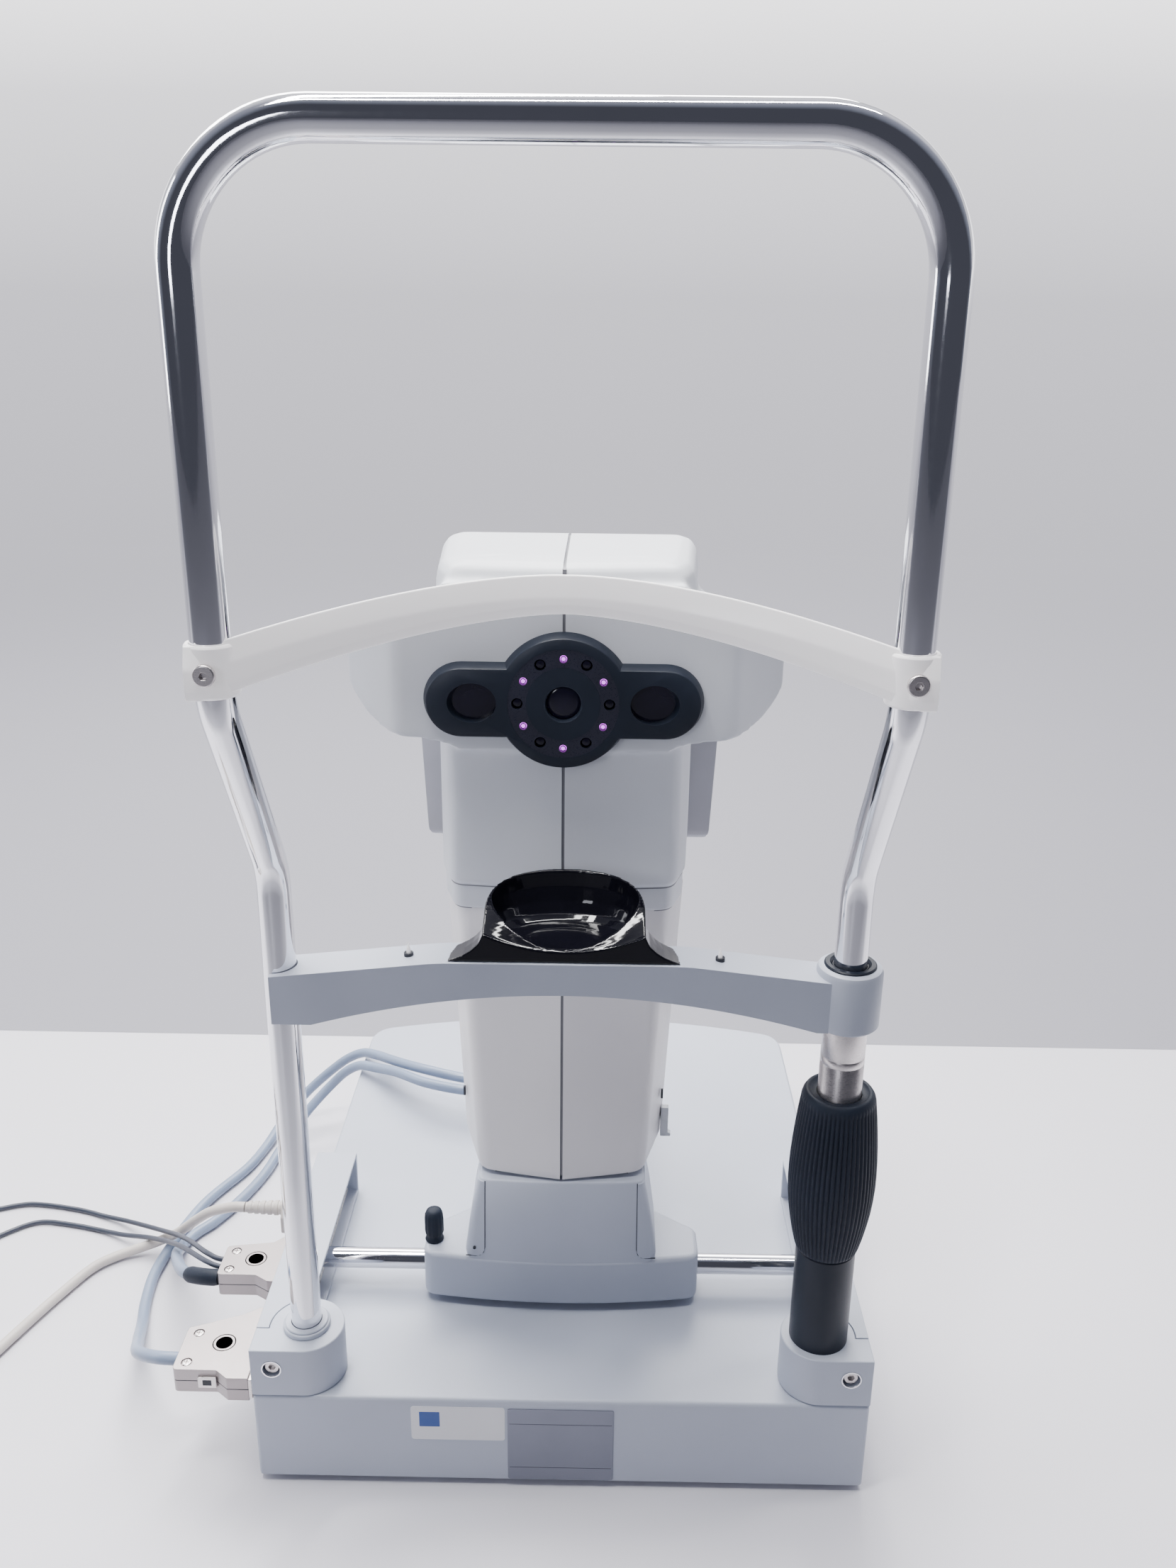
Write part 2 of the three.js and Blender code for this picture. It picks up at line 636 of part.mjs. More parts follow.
function upperTrunk(inset, top) {
  const section = (z, more) => {
    const narrower = inset + more;
    const rear = headRear - (more > 2 ? more : 0);
    return [z, headPlan(headFront + narrower, 0.1, 58.5 - narrower, 100, 65 - narrower, rear,
      72.5 - narrower)];
  };
  const band = 1.5;
  return loftZ([
    section(lipZ - (inset > 0 ? 1 : 0), band),
    section(lipZ + lipHeight - inset, band),
    section(lipZ + lipHeight + 2 - inset, 0),
    section(top - 9, 0),
    section(top - 3, 2),
    section(top, 8),
  ]);
}

function wings(inset) {
  const low = 405.5 + inset;
  const cornerX = 82 - inset / 2;
  const half = 115 - inset;
  const shape = new THREE.Shape();
  shape.moveTo(-30, 398 + inset);
  shape.lineTo(60, 398 + inset);
  shape.quadraticCurveTo(70, low, cornerX, low);
  shape.quadraticCurveTo(half - 1, low + 2, half, 442);
  shape.lineTo(half, 445);
  shape.quadraticCurveTo(half - 2, 450 - inset, half - 16, 452 - inset);
  shape.quadraticCurveTo(70, 456 - inset, 64, 484 - inset);
  shape.lineTo(-30, 484 - inset);
  shape.closePath();
  const plan = [[-30, headFront + inset], [83 - inset / 2, headFront + inset], [half, 105 + inset / 2],
    [half, 160 - inset], [half - 8, 170 - inset], [-30, 170 - inset]];
  return common(raiseY(shape, [60, 190]), raiseZ(plan, [390, 490]));
}

// The right half is modelled; the left half is its mirror image.
function headShell() {
  const outer = join(upperTrunk(0, headTop), wings(0));
  const inner = join(upperTrunk(wall, headTop - wall), wings(wall));
  const beside = box([seamHalf, 200], [0, 300], [300, 600]);
  const opticBore = discY(9.5, [60, 90], 0, opticZ);
  const rearOpening = box([-66, 66], [headRear - 5, headRear + 5], [lipZ - 1, headTop - 12]);
  return cut(common(outer, beside), inner, opticBore, rearOpening);
}

function lowerShell() {
  const plan = (z, half, midHalf, inset) =>
    [z, headPlan(headFront + inset, 0.15, half - inset, 118, midHalf - inset, 150 - inset,
      midHalf - 6 - inset)];
  const top = lipZ - 0.5;
  const outer = loftZ([plan(shellBottom, 45.5, 57, 0), plan(shellBottom + 4, 47, 58, 0),
    plan(top, 55.5, 65.5, 0)]);
  const inner = loftZ([plan(shellBottom - 3, 46.5, 58, wall), plan(top + 3, 55.5, 65.5, wall)]);
  const beside = box([seamHalf, 200], [0, 300], [100, 400]);
  return cut(common(outer, beside), inner);
}

const rightShell = headShell();
const rightLower = lowerShell();
place(instrument, 'head_shell_right', rightShell, shellWhite);
place(instrument, 'head_shell_left', mirrored(rightShell), shellWhite);
place(instrument, 'lower_shell_right', rightLower, shellWhite);
place(instrument, 'lower_shell_left', mirrored(rightLower), shellWhite);

function liftColumn() {
  const outer = box([-columnHalf, columnHalf], columnY, [96, 329]);
  const inner = box([-columnHalf + 4, columnHalf - 4], [columnY[0] + 4, columnY[1] - 4], [90, 340]);
  return cut(outer, inner);
}

place(instrument, 'lift_column', liftColumn(), blackAnodised);

function opticsModule() {
  const block = box([-42, 42], [92, 182], [330, 470]);
  const tube = discY(15, [76, 93], 0, opticZ);
  return join(block, tube);
}

place(instrument, 'optics_module', opticsModule(), boxSteel);

// Plan of the bowed closure behind the head.
function rearPlan(inset, lead) {
  const half = 69 - inset;
  const front = headRear + 0.4;
  const shape = new THREE.Shape();
  shape.moveTo(-half, front - lead);
  shape.lineTo(half, front - lead);
  shape.lineTo(half, front);
  shape.quadraticCurveTo(half - 14, 205 - inset, 0, 205 - inset);
  shape.quadraticCurveTo(-half + 14, 205 - inset, -half, front);
  shape.closePath();
  return shape;
}

function rearCover() {
  const outer = raiseZ(rearPlan(0, 0), [lipZ, headTop - 2]);
  const inner = raiseZ(rearPlan(wall, 2), [lipZ + wall, headTop - 2 - wall]);
  return cut(outer, inner);
}

place(instrument, 'rear_cover', rearCover(), shellWhite);

// ---------------------------------------------------------------- display
const displayZ = [306.5, 440];
const displayY = [190, 226];

function displayHousing() {
  const outer = loftZ([displayZ[0], displayZ[0] + 4, displayZ[1] - 4, displayZ[1]].map((z, i) => {
    const half = 85 + 6 * (z - displayZ[0]) / (displayZ[1] - displayZ[0]) - (i % 3 === 0 ? 3 : 0);
    return [z, mirrorX([[0, displayY[0]], [half, displayY[0]], [half, displayY[1] - 5],
      [half - 5, displayY[1]],
      [0, displayY[1]]])];
  }));
  const inner = box([-80, 80], [displayY[0] + wall, displayY[1] - wall],
    [displayZ[0] + 6, displayZ[1] - 6]);
  const coverRoom = raiseZ(rearPlan(-0.6, 4), [lipZ - 20, headTop]);
  const screenOpening = box([-72, 72], [displayY[1] - 5, displayY[1] + 1], [322, 424]);
  return cut(outer, inner, coverRoom, screenOpening);
}

place(instrument, 'display_housing', displayHousing(), greyPanel);
place(instrument, 'display_screen',
  box([-71.6, 71.6], [displayY[1] - 3.2, displayY[1] - 0.8], [322.4, 423.6]), glass);

// ---------------------------------------------------------------- aperture plate and its lights
const plateBack = 71.5;
const lobeX = 50;
const lobeR = 17;
const ledRingR = 22.5;
const around = (count, startDegrees) => Array.from({ length: count }, (_, i) => {
  const turn = THREE.MathUtils.degToRad(startDegrees + 360 * i / count);
  return [ledRingR * Math.cos(turn), opticZ + ledRingR * Math.sin(turn)];
});

function aperturePlate() {
  const flare = 2;
  const lobes = [-lobeX, lobeX].map((x) =>
    discY(lobeR, [plateFront, plateBack], x, opticZ, 20, lobeR + flare));
  const bar = loftY([[plateFront, 0], [plateBack, flare]].map(([y, grow]) =>
    [y, [[-lobeX, opticZ - lobeR - grow], [lobeX, opticZ - lobeR - grow], [lobeX, opticZ + lobeR + grow],
      [-lobeX, opticZ + lobeR + grow]]]));
  const disc = discY(32.3, [plateFront, plateBack], 0, opticZ, 28, 32.3 + flare);
  const windows = [-44.7, 44.7].map((x) => discY(1, [plateFront - 1, 69.5], 0, 0, 16)
    .scale(12.4, 1, 10.25).translate(x, 0, opticZ));
  const boardRoom = cut(discY(27, [67.5, plateBack + 1], 0, opticZ, 24),
    discY(17.5, [66, plateBack + 2], 0, opticZ));
  const ledHoles = around(6, 90).map(([x, z]) => discY(1.9, [plateFront - 1, 68], x, z, 10));
  const sensorHoles = around(6, 120).map(([x, z]) => discY(2.8, [plateFront - 1, 66.5], x, z, 10));
  return cut(join(...lobes, bar, disc), discY(9.3, [60, 80], 0, opticZ), ...windows, boardRoom, ...ledHoles,
    ...sensorHoles);
}

function ledBoardSolid() {
  const board = cut(discY(26.3, [68, 70.8], 0, opticZ, 24), discY(18.5, [66, 72], 0, opticZ));
  return join(board, ...around(6, 90).map(([x, z]) => discY(1.5, [plateFront + 0.6, 69], x, z, 8)));
}

place(instrument, 'aperture_plate', aperturePlate(), blackAnodised);
place(instrument, 'led_ring', ledBoardSolid(), ledBoard);
place(instrument, 'objective_lens', new THREE.LatheGeometry(
  [[0, 66.6], [4, 66.9], [7, 67.8], [8.9, 69], [8.9, 71], [0, 71]].map(([r, y]) =>
    new THREE.Vector2(r, y)), 20)
  .translate(0, 0, opticZ), glass);

// ---------------------------------------------------------------- connectors on the left side
const hoodZ = [53, 68];
const cableZ = 60;
const sideFace = -baseHalf - 0.5;

place(whole, 'wide_connector', raiseZ(
  [[sideFace, 2.5], [sideFace, 55.5], [-174, 55.5], [-182, 50], [-199, 43], [-210, 39], [-210, 8],
    [-186, 8], [-179, 2.5]],
  hoodZ), nickel);
place(whole, 'narrow_connector', raiseZ(
  [[sideFace, 77], [sideFace, 119], [-172, 119], [-180, 111], [-207, 107], [-207, 82], [-184, 82],
    [-176, 77]],
  hoodZ), nickel);

function mainsConnector() {
  const body = raiseX([[142, 49], [166, 49], [166, 61], [160, 68], [148, 68], [142, 61]], [-184, sideFace]);
  const relief = discX(5, [-209.3, -183], 154, cableZ, 24);
  return join(body, relief);
}

place(whole, 'mains_connector', mainsConnector(), beigeCable);

// ---------------------------------------------------------------- cords
const mainsR = 3.25;
const thinR = 1.6;
const blueR = 3.6;

const mainsRoute = [[-209.8, 154, 60], [-216, 154.2, 60], [-226, 157, 56], [-237.4, 164.8, 47],
  [-253.1, 176.1, 30],
  [-267.4, 182.2, 15.8], [-281.8, 180.6, 9.2], [-300, 176, 4.4], [-316, 164, 3.7], [-329, 138, 3.7],
  [-340, 110, 3.7], [-349, 85, 3.7], [-357.2, 62, 3.7]];
const thinRouteA = [[-207.8, 104, 60], [-213, 105, 60], [-221, 111, 58.5], [-244, 142.6, 42],
  [-259, 162.6, 30],
  [-279.4, 183.8, 17], [-311.3, 207.2, 5], [-332, 216, 2.2], [-350, 222, 2], [-390, 227.6, 2],
    [-408, 222, 2],
  [-437, 212.5, 2]];
const thinRouteB = [[-207.8, 97.5, 60], [-212, 98.5, 60], [-220, 104, 58.5], [-246.7, 136.5, 42],
  [-266.5, 160.3, 27],
  [-287.5, 180.8, 13], [-310, 193.5, 4.5], [-326, 200, 2.2], [-350, 206, 2], [-375, 208, 2],
    [-395, 193.6, 2],
  [-410, 176, 2]];
const blueRouteA = [[-210.8, 24, 60], [-222, 25.5, 59], [-240, 40, 48], [-257, 78, 21],
  [-266.6, 108.6, 6.5],
  [-272, 130, 4.1], [-275, 161, 3.9], [-264, 227, 3.9], [-243, 273, 3.9], [-236, 300, 4.1], [-229, 327, 9],
  [-213.6, 340, 25], [-191.8, 344, 45], [-177, 341.5, 57.5], [-165, 337, 64.5], [-150, 324, 70]];
const blueRouteB = [[-207.8, 88.5, 60], [-216, 90, 59], [-232, 101, 52], [-247, 127, 38], [-258, 155.2, 22],
  [-263.5, 176, 8], [-264, 187, 4.2], [-259, 198, 3.9], [-251, 209, 3.9], [-238, 236, 3.9],
    [-229, 265, 3.9],
  [-223, 292, 7], [-207.5, 313, 25], [-187.7, 324, 45], [-176, 322.5, 57], [-165, 318.5, 64.5],
    [-150, 307, 70]];
const blueInnerA = [[-149.3, 323.3, 70.3], [-132, 301, 79], [-108, 280, 86], [-84, 271, 86],
  [-70, 270, 84.5],
  [-61, 270, 84]];
const blueInnerB = [[-149.3, 306.4, 70.3], [-132, 289, 78], [-108, 268, 83], [-84, 257, 85],
  [-70, 256, 84.3],
  [-61, 256, 84]];

place(whole, 'mains_lead', cord(mainsRoute, mainsR, 17), beigeCable);
place(whole, 'thin_lead_a', cord(thinRouteA, thinR, 11), darkCable);
place(whole, 'thin_lead_b', cord(thinRouteB, thinR, 11), darkCable);
place(whole, 'blue_cable_a_outer', cord(blueRouteA, blueR, 18), blueCable);
place(whole, 'blue_cable_b_outer', cord(blueRouteB, blueR, 18), blueCable);
place(whole, 'blue_cable_a_inner', cord(blueInnerA, blueR, 18), blueCable);
place(whole, 'blue_cable_b_inner', cord(blueInnerB, blueR, 18), blueCable);

// A coil's outer shape: a ring of square section lying on the table.
const coil = (x, y, r, across, height) => turned(
  [[r - across / 2, 0.4], [r + across / 2, 0.4], [r + across / 2, height], [r - across / 2, height],
    [r - across / 2, 0.4]], x, y, 28);

place(whole, 'mains_coil', coil(-405, 45, 36.2, 20, 14), beigeCable);
place(whole, 'thin_coil_a', coil(-447, 184, 17.6, 13.4, 7.4), darkCable);
place(whole, 'thin_coil_b', coil(-408, 148, 17.6, 13.4, 7.4), darkCable);

// A round plug along Y with its bend relief towards the coil and its pins or sleeve beyond.
function plugAlong([x, y, z], sections) {
  let from = y;
  const pieces = sections.map(([length, r, rEnd]) => {
    const start = from;
    from += length;
    const ends = length > 0 ? [start, from] : [from, start];
    return length > 0 ? discY(r, ends, x, z, 24, rEnd) : discY(rEnd, ends, x, z, 24, r);
  });
  return join(...pieces);
}

function wallPlug() {
  const axis = [-452.6, 62, 19.4];
  const shell = plugAlong(axis, [[25.2, 3.6, 8], [32, 14, 19]]);
  const pins = [-9.5, 9.5].map((x) => discY(2.4, [118, 138], axis[0] + x, axis[2], 16));
  return join(shell, ...pins);
}

place(whole, 'wall_plug', wallPlug(), beigeCable);
place(whole, 'thin_plug_a', plugAlong([-474.2, 178, 6], [[-12, 2.2, 5.5], [-20, 5.5, 5.5]]), darkCable);
place(whole, 'thin_plug_b', plugAlong([0, 0, 6], [[-12, 2.2, 5.5], [-20, 5.5, 5.5]])
  .rotateZ(Math.PI / 2).translate(-403, 121.2, 0), darkCable);

export default whole;
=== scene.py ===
"""A table-top eye-measuring instrument: a joystick-driven head on a geared cross slide, with a head frame,
a chin rest and leads. Shapes are given in millimetres from the front face of the base: X to the right,
Y away from the patient and Z up. spot() turns them into the shared frame's metres.
"""
import math

import bmesh
import bpy
from mathutils import Matrix, Vector


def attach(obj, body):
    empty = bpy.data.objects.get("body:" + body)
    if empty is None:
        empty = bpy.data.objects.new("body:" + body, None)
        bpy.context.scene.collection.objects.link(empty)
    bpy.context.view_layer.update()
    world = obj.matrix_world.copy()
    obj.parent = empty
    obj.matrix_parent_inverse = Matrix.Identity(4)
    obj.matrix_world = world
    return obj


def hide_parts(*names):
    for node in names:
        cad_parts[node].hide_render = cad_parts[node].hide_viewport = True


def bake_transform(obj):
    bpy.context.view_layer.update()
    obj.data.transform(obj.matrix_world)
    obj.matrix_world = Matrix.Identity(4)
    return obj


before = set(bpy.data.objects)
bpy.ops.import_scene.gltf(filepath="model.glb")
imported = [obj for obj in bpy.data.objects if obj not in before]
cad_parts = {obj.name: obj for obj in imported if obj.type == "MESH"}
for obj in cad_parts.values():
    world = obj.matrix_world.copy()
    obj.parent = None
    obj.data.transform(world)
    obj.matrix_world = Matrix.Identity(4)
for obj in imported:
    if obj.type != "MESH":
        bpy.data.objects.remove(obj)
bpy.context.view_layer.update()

# ---------------------------------------------------------------- driving dimensions, mm
MM = 0.001
BASE_FRONT = 176.0        # from the frame's origin forward to the front face of the base
INSTRUMENT_X = -2.5       # the slide and the head stand this far to the left of the middle
INSTRUMENT_BODIES = ("cross_slide", "head", "lift_screw", "slide_lock", "stick_ball", "stick",
                     "stick_grip", "stick_button")

BASE_HALF = 165.0
BASE_DEPTH = 408.0
SKIRT_BOTTOM = 3.0
BASE_TOP = 59.0
BLOCK_TOP = 89.0
RAIL_INNER = 139.5
RAIL_END = 174.0
SEAM_Y = 17.0

POST_X = 138.0
POST_Y = 20.0
UPPER_POST_Y = -44.0
TUBE_R = 8.0
BEND_START = 345.0
BEND_R = 40.0
BEND_ANGLE = math.radians(33)
TOP_BAR_Z = 665.0
TOP_CORNER_R = 50.0

SHAFT_Y = 90.0
SHAFT_Z = 75.5

SLIDE_FRONT = 67.0
SLIDE_HALF = 80.0
SLIDE_BOTTOM = 63.0
SHOULDER_TOP = 94.0
TOWER_TOP = 144.5
STICK_Y = 250.0
COLUMN_ROOM = ((-38.5, 38.5), (81.5, 112.5))   # where the lift column stands, in X and Y

HEAD_FRONT = 72.0
HEAD_REAR = 188.0
LIP_Z = 310.5
LIP_HEIGHT = 14.0
HEAD_TOP = 493.0
SHELL_BOTTOM = 145.5
SEAM_HALF = 0.75
OPTIC_Z = 426.5
PLATE_FRONT = 64.0
PLATE_BACK = 71.5
RING_R = 22.5


def spot(x, y, z):
    """A place in millimetres from the base's front face, as a point of the shared frame."""
    return Vector((x, y - BASE_FRONT, z)) * MM


# ---------------------------------------------------------------- camera
def add_camera():
    """A phone camera held above the patient's seat, looking down at the front of the instrument."""
    focal_length = 29.21
    longest_side = 36.0
    pitch = math.radians(19.3)
    yaw = math.radians(0.486)
    roll = math.radians(0.697)
    ahead = Vector((-math.sin(yaw) * math.cos(pitch), math.cos(yaw) * math.cos(pitch), -math.sin(pitch)))
    level = Vector((math.cos(yaw), math.sin(yaw), 0))
    down = ahead.cross(level)
    picture_right = level * math.cos(roll) - down * math.sin(roll)
    picture_down = down * math.cos(roll) + level * math.sin(roll)
    camera = bpy.data.objects.new("camera", bpy.data.cameras.new("camera"))
    camera.data.lens = focal_length
    camera.data.sensor_width = longest_side
    camera.data.clip_start = 0.02
    axes = Matrix((picture_right, -picture_down, -ahead)).transposed()
    camera.matrix_world = Matrix.Translation(spot(15.07, -531.5, 594.4)) @ axes.to_4x4()
    bpy.context.scene.collection.objects.link(camera)
    bpy.context.scene.camera = camera


add_camera()


# ---------------------------------------------------------------- materials
class Finish:
    """A procedural material and the record's slot it belongs to."""

    def __init__(self, name, colour, roughness, slot=None, metallic=0.0, coat=0.0, grain=0.0,
                 grain_size=0.5, mottle=0.06, mottle_size=40.0, stretch=(1, 1, 1), glow=None, shine=0.5):
        self.slot = slot
        self.material = bpy.data.materials.new(name)
        self.material.use_nodes = True
        self.nodes = self.material.node_tree.nodes
        self.links = self.material.node_tree.links
        self.shader = self.nodes["Principled BSDF"]
        self.shader.inputs["Metallic"].default_value = metallic
        self.shader.inputs["Specular IOR Level"].default_value = shine
        self.shader.inputs["Coat Weight"].default_value = coat
        self.shader.inputs["Coat Roughness"].default_value = 0.08
        if glow:
            self.shader.inputs["Emission Color"].default_value = (*glow[0], 1)
            self.shader.inputs["Emission Strength"].default_value = glow[1]
        place = self.nodes.new("ShaderNodeTexCoord")
        stretched = self.nodes.new("ShaderNodeMapping")
        stretched.inputs["Scale"].default_value = stretch
        self.links.new(place.outputs["Object"], stretched.inputs["Vector"])
        broad = self.noise(place.outputs["Object"], mottle_size, 4)
        fine = self.noise(stretched.outputs["Vector"], grain_size, 3)
        self.tint(broad, colour, mottle)
        self.vary_roughness(fine, roughness)
        if grain:
            bump = self.nodes.new("ShaderNodeBump")
            bump.inputs["Strength"].default_value = 0.6
            bump.inputs["Distance"].default_value = grain * MM
            self.links.new(fine, bump.inputs["Height"])
            self.links.new(bump.outputs["Normal"], self.shader.inputs["Normal"])

    def noise(self, vector, size, detail):
        node = self.nodes.new("ShaderNodeTexNoise")
        node.inputs["Scale"].default_value = 1 / (size * MM)
        node.inputs["Detail"].default_value = detail
        self.links.new(vector, node.inputs["Vector"])
        return node.outputs["Fac"]

    def tint(self, noise, colour, mottle):
        ramp = self.nodes.new("ShaderNodeValToRGB")
        dark, light = ramp.color_ramp.elements
        dark.position = 0.3
        light.position = 0.7
        dark.color = (*[c * (1 - mottle) for c in colour], 1)
        light.color = (*[min(1, c * (1 + mottle)) for c in colour], 1)
        self.links.new(noise, ramp.inputs["Fac"])
        self.links.new(ramp.outputs["Color"], self.shader.inputs["Base Color"])

    def vary_roughness(self, noise, roughness):
        spread = self.nodes.new("ShaderNodeMapRange")
        spread.inputs["From Min"].default_value = 0.3
        spread.inputs["From Max"].default_value = 0.7
        spread.inputs["To Min"].default_value = roughness * 0.85
        spread.inputs["To Max"].default_value = min(1, roughness * 1.15)
        self.links.new(noise, spread.inputs["Value"])
        self.links.new(spread.outputs["Result"], self.shader.inputs["Roughness"])


PAINT = Finish("paint", (0.43, 0.46, 0.54), 0.40, "housing_paint", grain=0.05, grain_size=0.7, mottle=0.02)
CASING = Finish("casing", (0.63, 0.65, 0.69), 0.40, "casing_white", grain=0.03, grain_size=0.6, mottle=0.02)
LOWER_CASING = Finish("lower_casing", (0.74, 0.72, 0.73), 0.40, "casing_white", grain=0.03,
                      grain_size=0.6, mottle=0.02)
# Painted light: the forehead rest and its pins glow faintly, which brightens their white as a lamp's light would
GLOWING_REST = Finish("rest", (0.90, 0.88, 0.88), 0.35, "rest_white", coat=0.2, grain=0.015, grain_size=1.5,
              mottle=0.02, glow=((0.95, 0.91, 0.92), 0.42))
CHROME = Finish("chrome", (0.80, 0.80, 0.83), 0.07, "chrome", metallic=1.0, mottle=0.03, grain_size=3.0)
STEEL = Finish("satin_steel", (0.62, 0.58, 0.57), 0.30, "satin_steel", metallic=1.0, grain=0.02,
               grain_size=0.4, stretch=(0.2, 0.2, 3.0))
KNOB = Finish("knob", (0.013, 0.018, 0.030), 0.55, "knob_black", grain=0.04, grain_size=0.5, mottle=0.15,
              shine=0.2)
GLOSS = Finish("gloss_black", (0.004, 0.004, 0.007), 0.07, "gloss_black", mottle=0.3, grain_size=6.0,
               shine=0.3)
SATIN = Finish("satin_black", (0.010, 0.014, 0.024), 0.40, "satin_black", grain=0.02, grain_size=0.4,
               mottle=0.12, shine=0.25)
LENS = Finish("lens", (0.008, 0.007, 0.018), 0.10, "lens_glass", coat=0.1, mottle=0.3, shine=0.35)
SCREEN = Finish("screen", (0.012, 0.014, 0.02), 0.08, "screen_glass", coat=0.8, mottle=0.1)
BOARD = Finish("led_board", (0.035, 0.025, 0.06), 0.35, "led_board", mottle=0.1)
NICKEL = Finish("nickel", (0.31, 0.28, 0.28), 0.33, "nickel", metallic=0.9, grain=0.05, grain_size=0.9,
                mottle=0.06)
BEIGE = Finish("beige_sheath", (0.52, 0.48, 0.45), 0.42, "beige_pvc", grain=0.02, grain_size=0.8)
DARK_SHEATH = Finish("dark_sheath", (0.030, 0.036, 0.055), 0.40, "dark_pvc", grain=0.02, grain_size=0.6)
BLUE_SHEATH = Finish("blue_sheath", (0.20, 0.25, 0.35), 0.33, "blue_pvc", grain=0.02, grain_size=0.8)
PANEL = Finish("panel_grey", (0.44, 0.44, 0.48), 0.45, "panel_grey", grain=0.04, grain_size=0.6)
GEAR = Finish("gear_white", (0.72, 0.70, 0.66), 0.38, "gear_white", grain=0.01)
ALLOY = Finish("inner_alloy", (0.52, 0.53, 0.55), 0.32, "inner_alloy", metallic=0.9, grain=0.02,
               stretch=(0.3, 3, 3))
BOARD_GREEN = Finish("board_green", (0.03, 0.12, 0.06), 0.35, "board_green", mottle=0.2, mottle_size=6.0)
VIOLET = Finish("violet_light", (0.45, 0.12, 0.75), 0.25, "led_board", glow=((0.60, 0.10, 0.80), 3.0))
WHITE_LABEL = Finish("white_label", (0.74, 0.74, 0.76), 0.45, "casing_white", mottle=0.03)
GREY_LABEL = Finish("grey_label", (0.20, 0.21, 0.26), 0.35, "panel_grey", metallic=0.5,
                    stretch=(0.2, 3, 3), grain=0.01)
BLUE_INK = Finish("blue_ink", (0.03, 0.08, 0.30), 0.45, "casing_white")
# grey for the seam linings between casing halves, and for the painted shadow lines round the casing's band
SEAM_AND_SHADOW_GREY = Finish("seam_and_shadow_grey", (0.22, 0.22, 0.24), 0.6, "casing_white")
SEAL_DARK = Finish("seal_dark", (0.02, 0.022, 0.03), 0.6, "satin_black", grain=0.02)


# ---------------------------------------------------------------- outlines, in two coordinates
def arc(centre_x, centre_y, radius, start, end, steps):
    """Points along a circle from one angle to another, in degrees."""
    turns = [math.radians(start + (end - start) * i / steps) for i in range(steps + 1)]
    return [(centre_x + radius * math.cos(t), centre_y + radius * math.sin(t)) for t in turns]


def curve_between(start, pull, end, steps):
    """Points of a quadratic curve, without its first point."""
    found = []
    for i in range(1, steps + 1):
        t = i / steps
        found.append(tuple((1 - t) ** 2 * a + 2 * t * (1 - t) * b + t * t * c for a, b,
                           c in zip(start, pull, end)))
    return found


def rounded(corners, steps=5):
    """An outline from corners (x, y, radius), with each corner rounded by its radius."""
    outline = []
    for i, (x, y, radius) in enumerate(corners):
        here = Vector((x, y))
        before = Vector(corners[i - 1][:2]) - here
        after = Vector(corners[(i + 1) % len(corners)][:2]) - here
        if radius <= 0:
            outline.append((x, y))
            continue
        half_angle = before.angle(after) / 2
        reach = min(radius / math.tan(half_angle), before.length * 0.48, after.length * 0.48)
        start = here + before.normalized() * reach
        end = here + after.normalized() * reach
        outline.append(tuple(start))
        outline.extend(curve_between(start, here, end, steps))
    return outline


# ---------------------------------------------------------------- solids: (vertices in mm, faces)
def skin(rings, closed=False):
    """A skin through rings of equally many points, with capped ends or, when closed, joined end to end."""
    count = len(rings[0])
    vertices = [tuple(p) for ring in rings for p in ring]
    faces = []
    spans = len(rings) if closed else len(rings) - 1
    for k in range(spans):
        here = k * count
        there = (k + 1) % len(rings) * count
        for i in range(count):
            j = (i + 1) % count
            faces.append((here + i, here + j, there + j, there + i))
    if not closed:
        faces.append(tuple(range(count - 1, -1, -1)))
        faces.append(tuple(range((len(rings) - 1) * count, len(rings) * count)))
    return vertices, faces


def raised_z(outline, low, high):
    return skin([[(x, y, z) for x, y in outline] for z in (low, high)])


def raised_y(outline, front, back):
    return skin([[(x, y, z) for x, z in outline] for y in (front, back)])


def raised_x(outline, left, right):
    return skin([[(x, y, z) for y, z in outline] for x in (left, right)])


def block(x, y, z):
    return raised_z([(x[0], y[0]), (x[1], y[0]), (x[1], y[1]), (x[0], y[1])], *z)


def turned_z(profile, x=0.0, y=0.0, sides=48, closed=False, ribs=None):
    """A profile of (radius, height) pairs turned about an upright axis. ribs is (count, depth, low, high)."""
    def radius_at(r, z, i):
        if ribs and ribs[2] <= z <= ribs[3]:
            phase = math.cos(2 * math.pi * ribs[0] * i / sides)
            return r - ribs[1] * (0.5 - 0.5 * phase) ** 2
        return r

    rings = []
    for r, z in profile:
        rings.append([(x + radius_at(r, z, i) * math.cos(2 * math.pi * i / sides),
                       y + radius_at(r, z, i) * math.sin(2 * math.pi * i / sides), z)
                      for i in range(sides)])
    return skin(rings, closed)


def turned_y(profile, x=0.0, z=0.0, sides=48, closed=False, squeeze=(1, 1)):
    """A profile of (radius, y) pairs turned about an axis along Y."""
    vertices, faces = turned_z(profile, 0, 0, sides, closed)
    return [(x + squeeze[0] * a, c, z + squeeze[1] * b) for a, b, c in vertices], faces


def turned_x(profile, y=0.0, z=0.0, sides=48, closed=False):
    """A profile of (radius, x) pairs turned about an axis along X."""
    vertices, faces = turned_z(profile, 0, 0, sides, closed)
    return [(c, y + a, z + b) for a, b, c in vertices], faces


def together(*solids):
    vertices, faces = [], []
    for more_vertices, more_faces in solids:
        start = len(vertices)
        vertices.extend(more_vertices)
        faces.extend(tuple(start + i for i in face) for face in more_faces)
    return vertices, faces


def moved(solid, x=0.0, y=0.0, z=0.0):
    return [(a + x, b + y, c + z) for a, b, c in solid[0]], solid[1]


def mirrored(solid):
    return [(-x, y, z) for x, y, z in solid[0]], [tuple(reversed(face)) for face in solid[1]]


